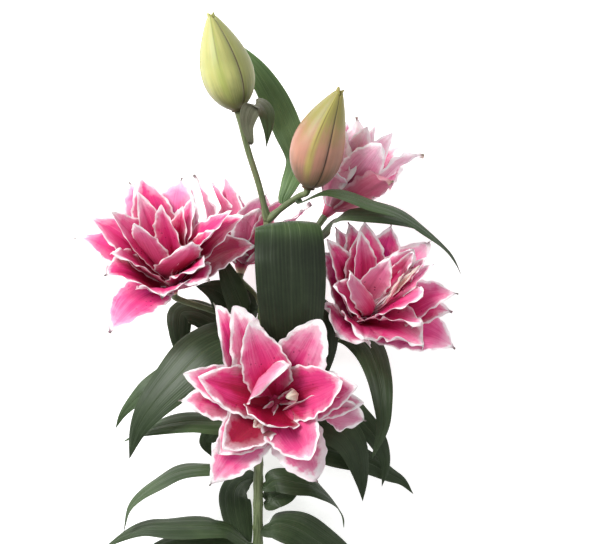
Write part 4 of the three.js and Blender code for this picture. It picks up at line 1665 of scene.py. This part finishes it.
# Each leaf's tone is set one by one, partly as painted light and shade for how brightly it is
# lit.
LEAVES = (
    Leaf("leaf_left_broad", 47, ((-63, -64, 92), (-85, -72, 102), (-109, -95, 106),
         (-132, -121, 104), (-147, -145, 98), (-155, -173, 88)), y=-88,
         facing=((0, 0.6, 0.8), (-0.25, 0.25, 1)), tone=0.25),
    Leaf("leaf_left_behind", 28, ((-85, -83, 76), (-133, -104, 80), (-150, -118, 77),
         (-162, -132, 73), (-169, -146, 68)), y=-104, tone=1.0),
    Leaf("leaf_left_level", 30, ((-73, -139, 74), (-97, -138, 80), (-121, -141, 80),
         (-140, -147, 76), (-162, -158, 68)), y=-136,
         facing=((0, 0.8, 0.6), (-0.3, 0.7, 0.6)), tone=0.9),
    Leaf("leaf_left_arching", 25, ((-62, -183, 60), (-83, -182, 68), (-108, -185, 72),
         (-125, -193, 72), (-144, -206, 69), (-157, -222, 63), (-162, -243, 54)), y=-180,
         facing=((0, 0.93, 0.37), (-0.9, 0.1, 0.4)), tone=0.7),
    Leaf("leaf_left_low", 30, ((-65, -241, 46), (-79, -238, 52), (-121, -238, 55),
         (-141, -239, 52), (-163, -247, 45), (-183, -261, 34)), y=-256,
         facing=((0, 0.85, 0.53), (-0.5, 0.6, 0.6)), tone=0.5),
    Leaf("leaf_left_lowest", 28, ((-66, -264, 30), (-94, -256, 34), (-121, -259, 34),
         (-144, -271, 27), (-163, -293, 14)), y=-285,
         facing=((0, 0.7, 0.7), (-0.4, 0.3, 0.9)), tone=0.4),
    Leaf("leaf_left_hanging", 30, ((-53, -198, 33), (-59, -208, 28), (-58, -226, 22),
         (-52, -251, 15), (-47, -276, 8)), y=-194, fullness=0.8,
         facing=((-0.4, 0.4, 0.8), (-0.1, 0.2, 1)), tone=0.4),
    Leaf("leaf_left_hidden", 24, ((-58, -152, 54), (-76, -148, 56), (-85, -158, 54),
         (-80, -173, 48)), y=-160, tone=0.5),
    Leaf("leaf_right_hooked", 26, ((-20, -194, 54), (-2, -196, 58), (14, -199, 58),
         (27, -208, 54), (37, -219, 50), (43, -230, 46), (44, -240, 42)), y=-200,
         facing=((0, 0.3, 1), (0.8, 0.6, -0.2)), tone=0.5),
    Leaf("leaf_right_low", 40, ((-20, -236, 42), (-2, -239, 46), (19, -252, 43),
         (44, -270, 35), (63, -293, 24)), y=-240, fullness=0.7, tone=0.3),
    Leaf("leaf_right_short", 24, ((-22, -212, 36), (-10, -207, 35), (6, -198, 30)), y=-218,
         tone=0.3),
    Leaf("leaf_right_long", 31, ((3, -155, 60), (24, -163, 66), (54, -172, 67),
         (70, -179, 64), (86, -188, 60), (98, -195, 55), (109, -208, 49)), y=-143, tone=0.4),
    Leaf("leaf_right_drooping", 36, ((12, -136, 82), (38, -145, 90), (51, -160, 90),
         (57, -178, 86), (60, -196, 81), (61, -213, 74)), y=-116,
         facing=((0, 0.5, 0.8), (0.1, 0.1, 1)), tone=0.3),
    Leaf("leaf_right_behind", 28, ((5, -130, 68), (40, -122, 72), (58, -136, 77),
         (73, -153, 78), (80, -168, 76), (82, -182, 72), (79, -200, 64)), y=-130, tone=0.4),
    Leaf("leaf_right_broad", 29, ((10, -49, 58), (48, -55, 56), (66, -70, 72),
         (76, -97, 92), (79, -120, 100), (79, -142, 102), (69, -172, 98)), y=-46,
         fullness=0.8, tone=0.5),
    Leaf("leaf_right_inner", 26, ((8, -28, 86), (22, -38, 88), (27, -62, 87),
         (24, -90, 84), (16, -115, 76)), y=-42, tone=0.3),
    Leaf("leaf_centre", 60, ((-12, 46, 124), (-8, 42, 138), (-6, 10, 141), (-5, -25, 137),
         (-4, -62, 126), (0, -96, 104), (4, -112, 90)), y=33, fullness=0.5, skew=0.85,
         facing=((0, 1, 0.1), (0, 0.1, 1)), tone=-0.22, painted_highlight=1.2),
    Leaf("leaf_arch_upper", 19, ((26, 73, 140), (46, 69, 150), (67, 62, 152), (90, 54, 150),
         (113, 40, 144), (132, 24, 134), (144, 10, 124), (150, -2, 114)), stalk="blush",
         share=0.75, facing=((0, 0.9, 0.45), (0.7, 0.5, 0.5)), tone=0.5),
    Leaf("leaf_arch_lower", 26, ((33, 45, 102), (42, 53, 112), (58, 54, 120), (76, 53, 122),
         (95, 48, 120), (113, 40, 114), (126, 29, 106)), stalk="back_right", share=0.74,
         facing=((0, 0.85, 0.5), (0.6, 0.5, 0.6)), tone=0.5),
    Leaf("leaf_top", 26, ((-7, 81, 96), (1, 105, 88), (-9, 133, 84), (-21, 160, 82),
         (-37, 186, 82), (-60, 213, 84)), stalk="blush", share=0.4, fullness=0.65, skew=1.1,
         facing=((0, 0.4, 1), (-0.3, 0.3, 1)), tone=2.5),
    Leaf("leaf_bract", 18, ((-45, 133, 136), (-42, 146, 147), (-35, 153, 150),
         (-28, 146, 146), (-26, 132, 139), (-28, 113, 130)), stalk="green", share=0.72,
         facing=((0, 0.6, -0.8), (0.3, -0.2, 1)), fullness=1.2, skew=1.05,
         tone=0.75, ruddy=0.75),
    Leaf("leaf_under_left", 28, ((-62, -56, 50), (-92, -38, 46), (-108, -38, 48),
         (-110, -55, 50), (-106, -80, 48), (-100, -105, 44)), y=-74, tone=0.4),
    Leaf("leaf_dark", 34, ((-54, -32, 72), (-76, -17, 73), (-94, -13, 72)), y=-35,
         facing=((0, 0.2, 1), (0, 0.3, 1)), tone=0.3),
    Leaf("leaf_strip", 22, ((-49, -36, 90), (-60, -12, 92), (-68, 8, 88), (-75, 24, 81)),
         y=-48, tone=0.4),
)


# ---- studio


@dataclass
class Studio:
    """A pale floor, soft light and the camera of the photograph, which looks down."""

    camera_height: float = 3.0
    field_width: float = 0.5465
    focus_height: float = 0.1
    middle: tuple[float, float] = (0.028, 0.063)
    floor_size: float = 12.0
    floor_glow: float = 0.62
    sky: float = 0.5
    key_watts: float = 68.0
    fill_watts: float = 4.0
    sensor: float = 36.0

    def floor(self) -> None:
        """Lay the pale floor."""
        half = self.floor_size / 2.0
        mesh = bpy.data.meshes.new("floor")
        corners = [(-half, -half, 0.0), (half, -half, 0.0), (half, half, 0.0), (-half, half, 0.0)]
        mesh.from_pydata(corners, [], [(0, 1, 2, 3)])
        made = bpy.data.objects.new("floor", mesh)
        bpy.context.scene.collection.objects.link(made)
        board = Board("floor_white")
        white = linear(250, 250, 250)
        inputs = board.shader.inputs
        board.plug(inputs["Base Color"], white)
        board.plug(inputs["Roughness"], 0.9)
        board.plug(inputs["Emission Color"], white)
        board.plug(inputs["Emission Strength"], self.floor_glow)
        mesh.materials.append(board.material)

    def lamp(self, name: str, place: Triple, watts: float, size: float) -> None:
        """Hang a soft square lamp that looks at the middle of the spray.

        Args:
            name: the lamp's.
            place: where it hangs, in metres.
            watts: its power.
            size: the length of its side, in metres.
        """
        data = bpy.data.lights.new(name, "AREA")
        data.energy = watts
        data.size = size
        made = bpy.data.objects.new(name, data)
        made.location = place
        aim = Vector((*self.middle, self.focus_height)) - Vector(place)
        made.rotation_euler = aim.to_track_quat("-Z", "Y").to_euler()
        bpy.context.scene.collection.objects.link(made)

    def build(self) -> None:
        """Set the floor, the sky, the lamps and the camera."""
        self.floor()
        world = bpy.data.worlds.new("studio")
        world.use_nodes = True
        inputs = world.node_tree.nodes["Background"].inputs
        inputs["Color"].default_value = (1, 1, 1, 1)
        inputs["Strength"].default_value = self.sky
        bpy.context.scene.world = world
        self.lamp("key", (-1.3, 1.1, 1.7), self.key_watts, 0.9)
        self.lamp("fill", (1.3, -0.5, 1.8), self.fill_watts, 1.4)
        bpy.context.scene.view_settings.view_transform = "Standard"
        data = bpy.data.cameras.new("camera")
        reach = self.camera_height - self.focus_height
        data.sensor_width = self.sensor
        data.lens = self.sensor * reach / self.field_width
        data.clip_start, data.clip_end = 0.1, 50.0
        made = bpy.data.objects.new("camera", data)
        made.location = (*self.middle, self.camera_height)
        bpy.context.scene.collection.objects.link(made)
        bpy.context.scene.camera = made


def main() -> None:
    """Build the spray's pieces in order, then the studio."""
    logging.basicConfig(level=logging.INFO, format="%(message)s")
    for bloom in BLOOMS:
        bloom.build()
    for bud in BUDS:
        bud.build()
    Stem().build()
    green = GREEN.material()
    for number, leaf in enumerate(LEAVES):
        leaf.build(green, number)
    Studio().build()
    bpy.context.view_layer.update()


if __name__ == "__main__":
    main()
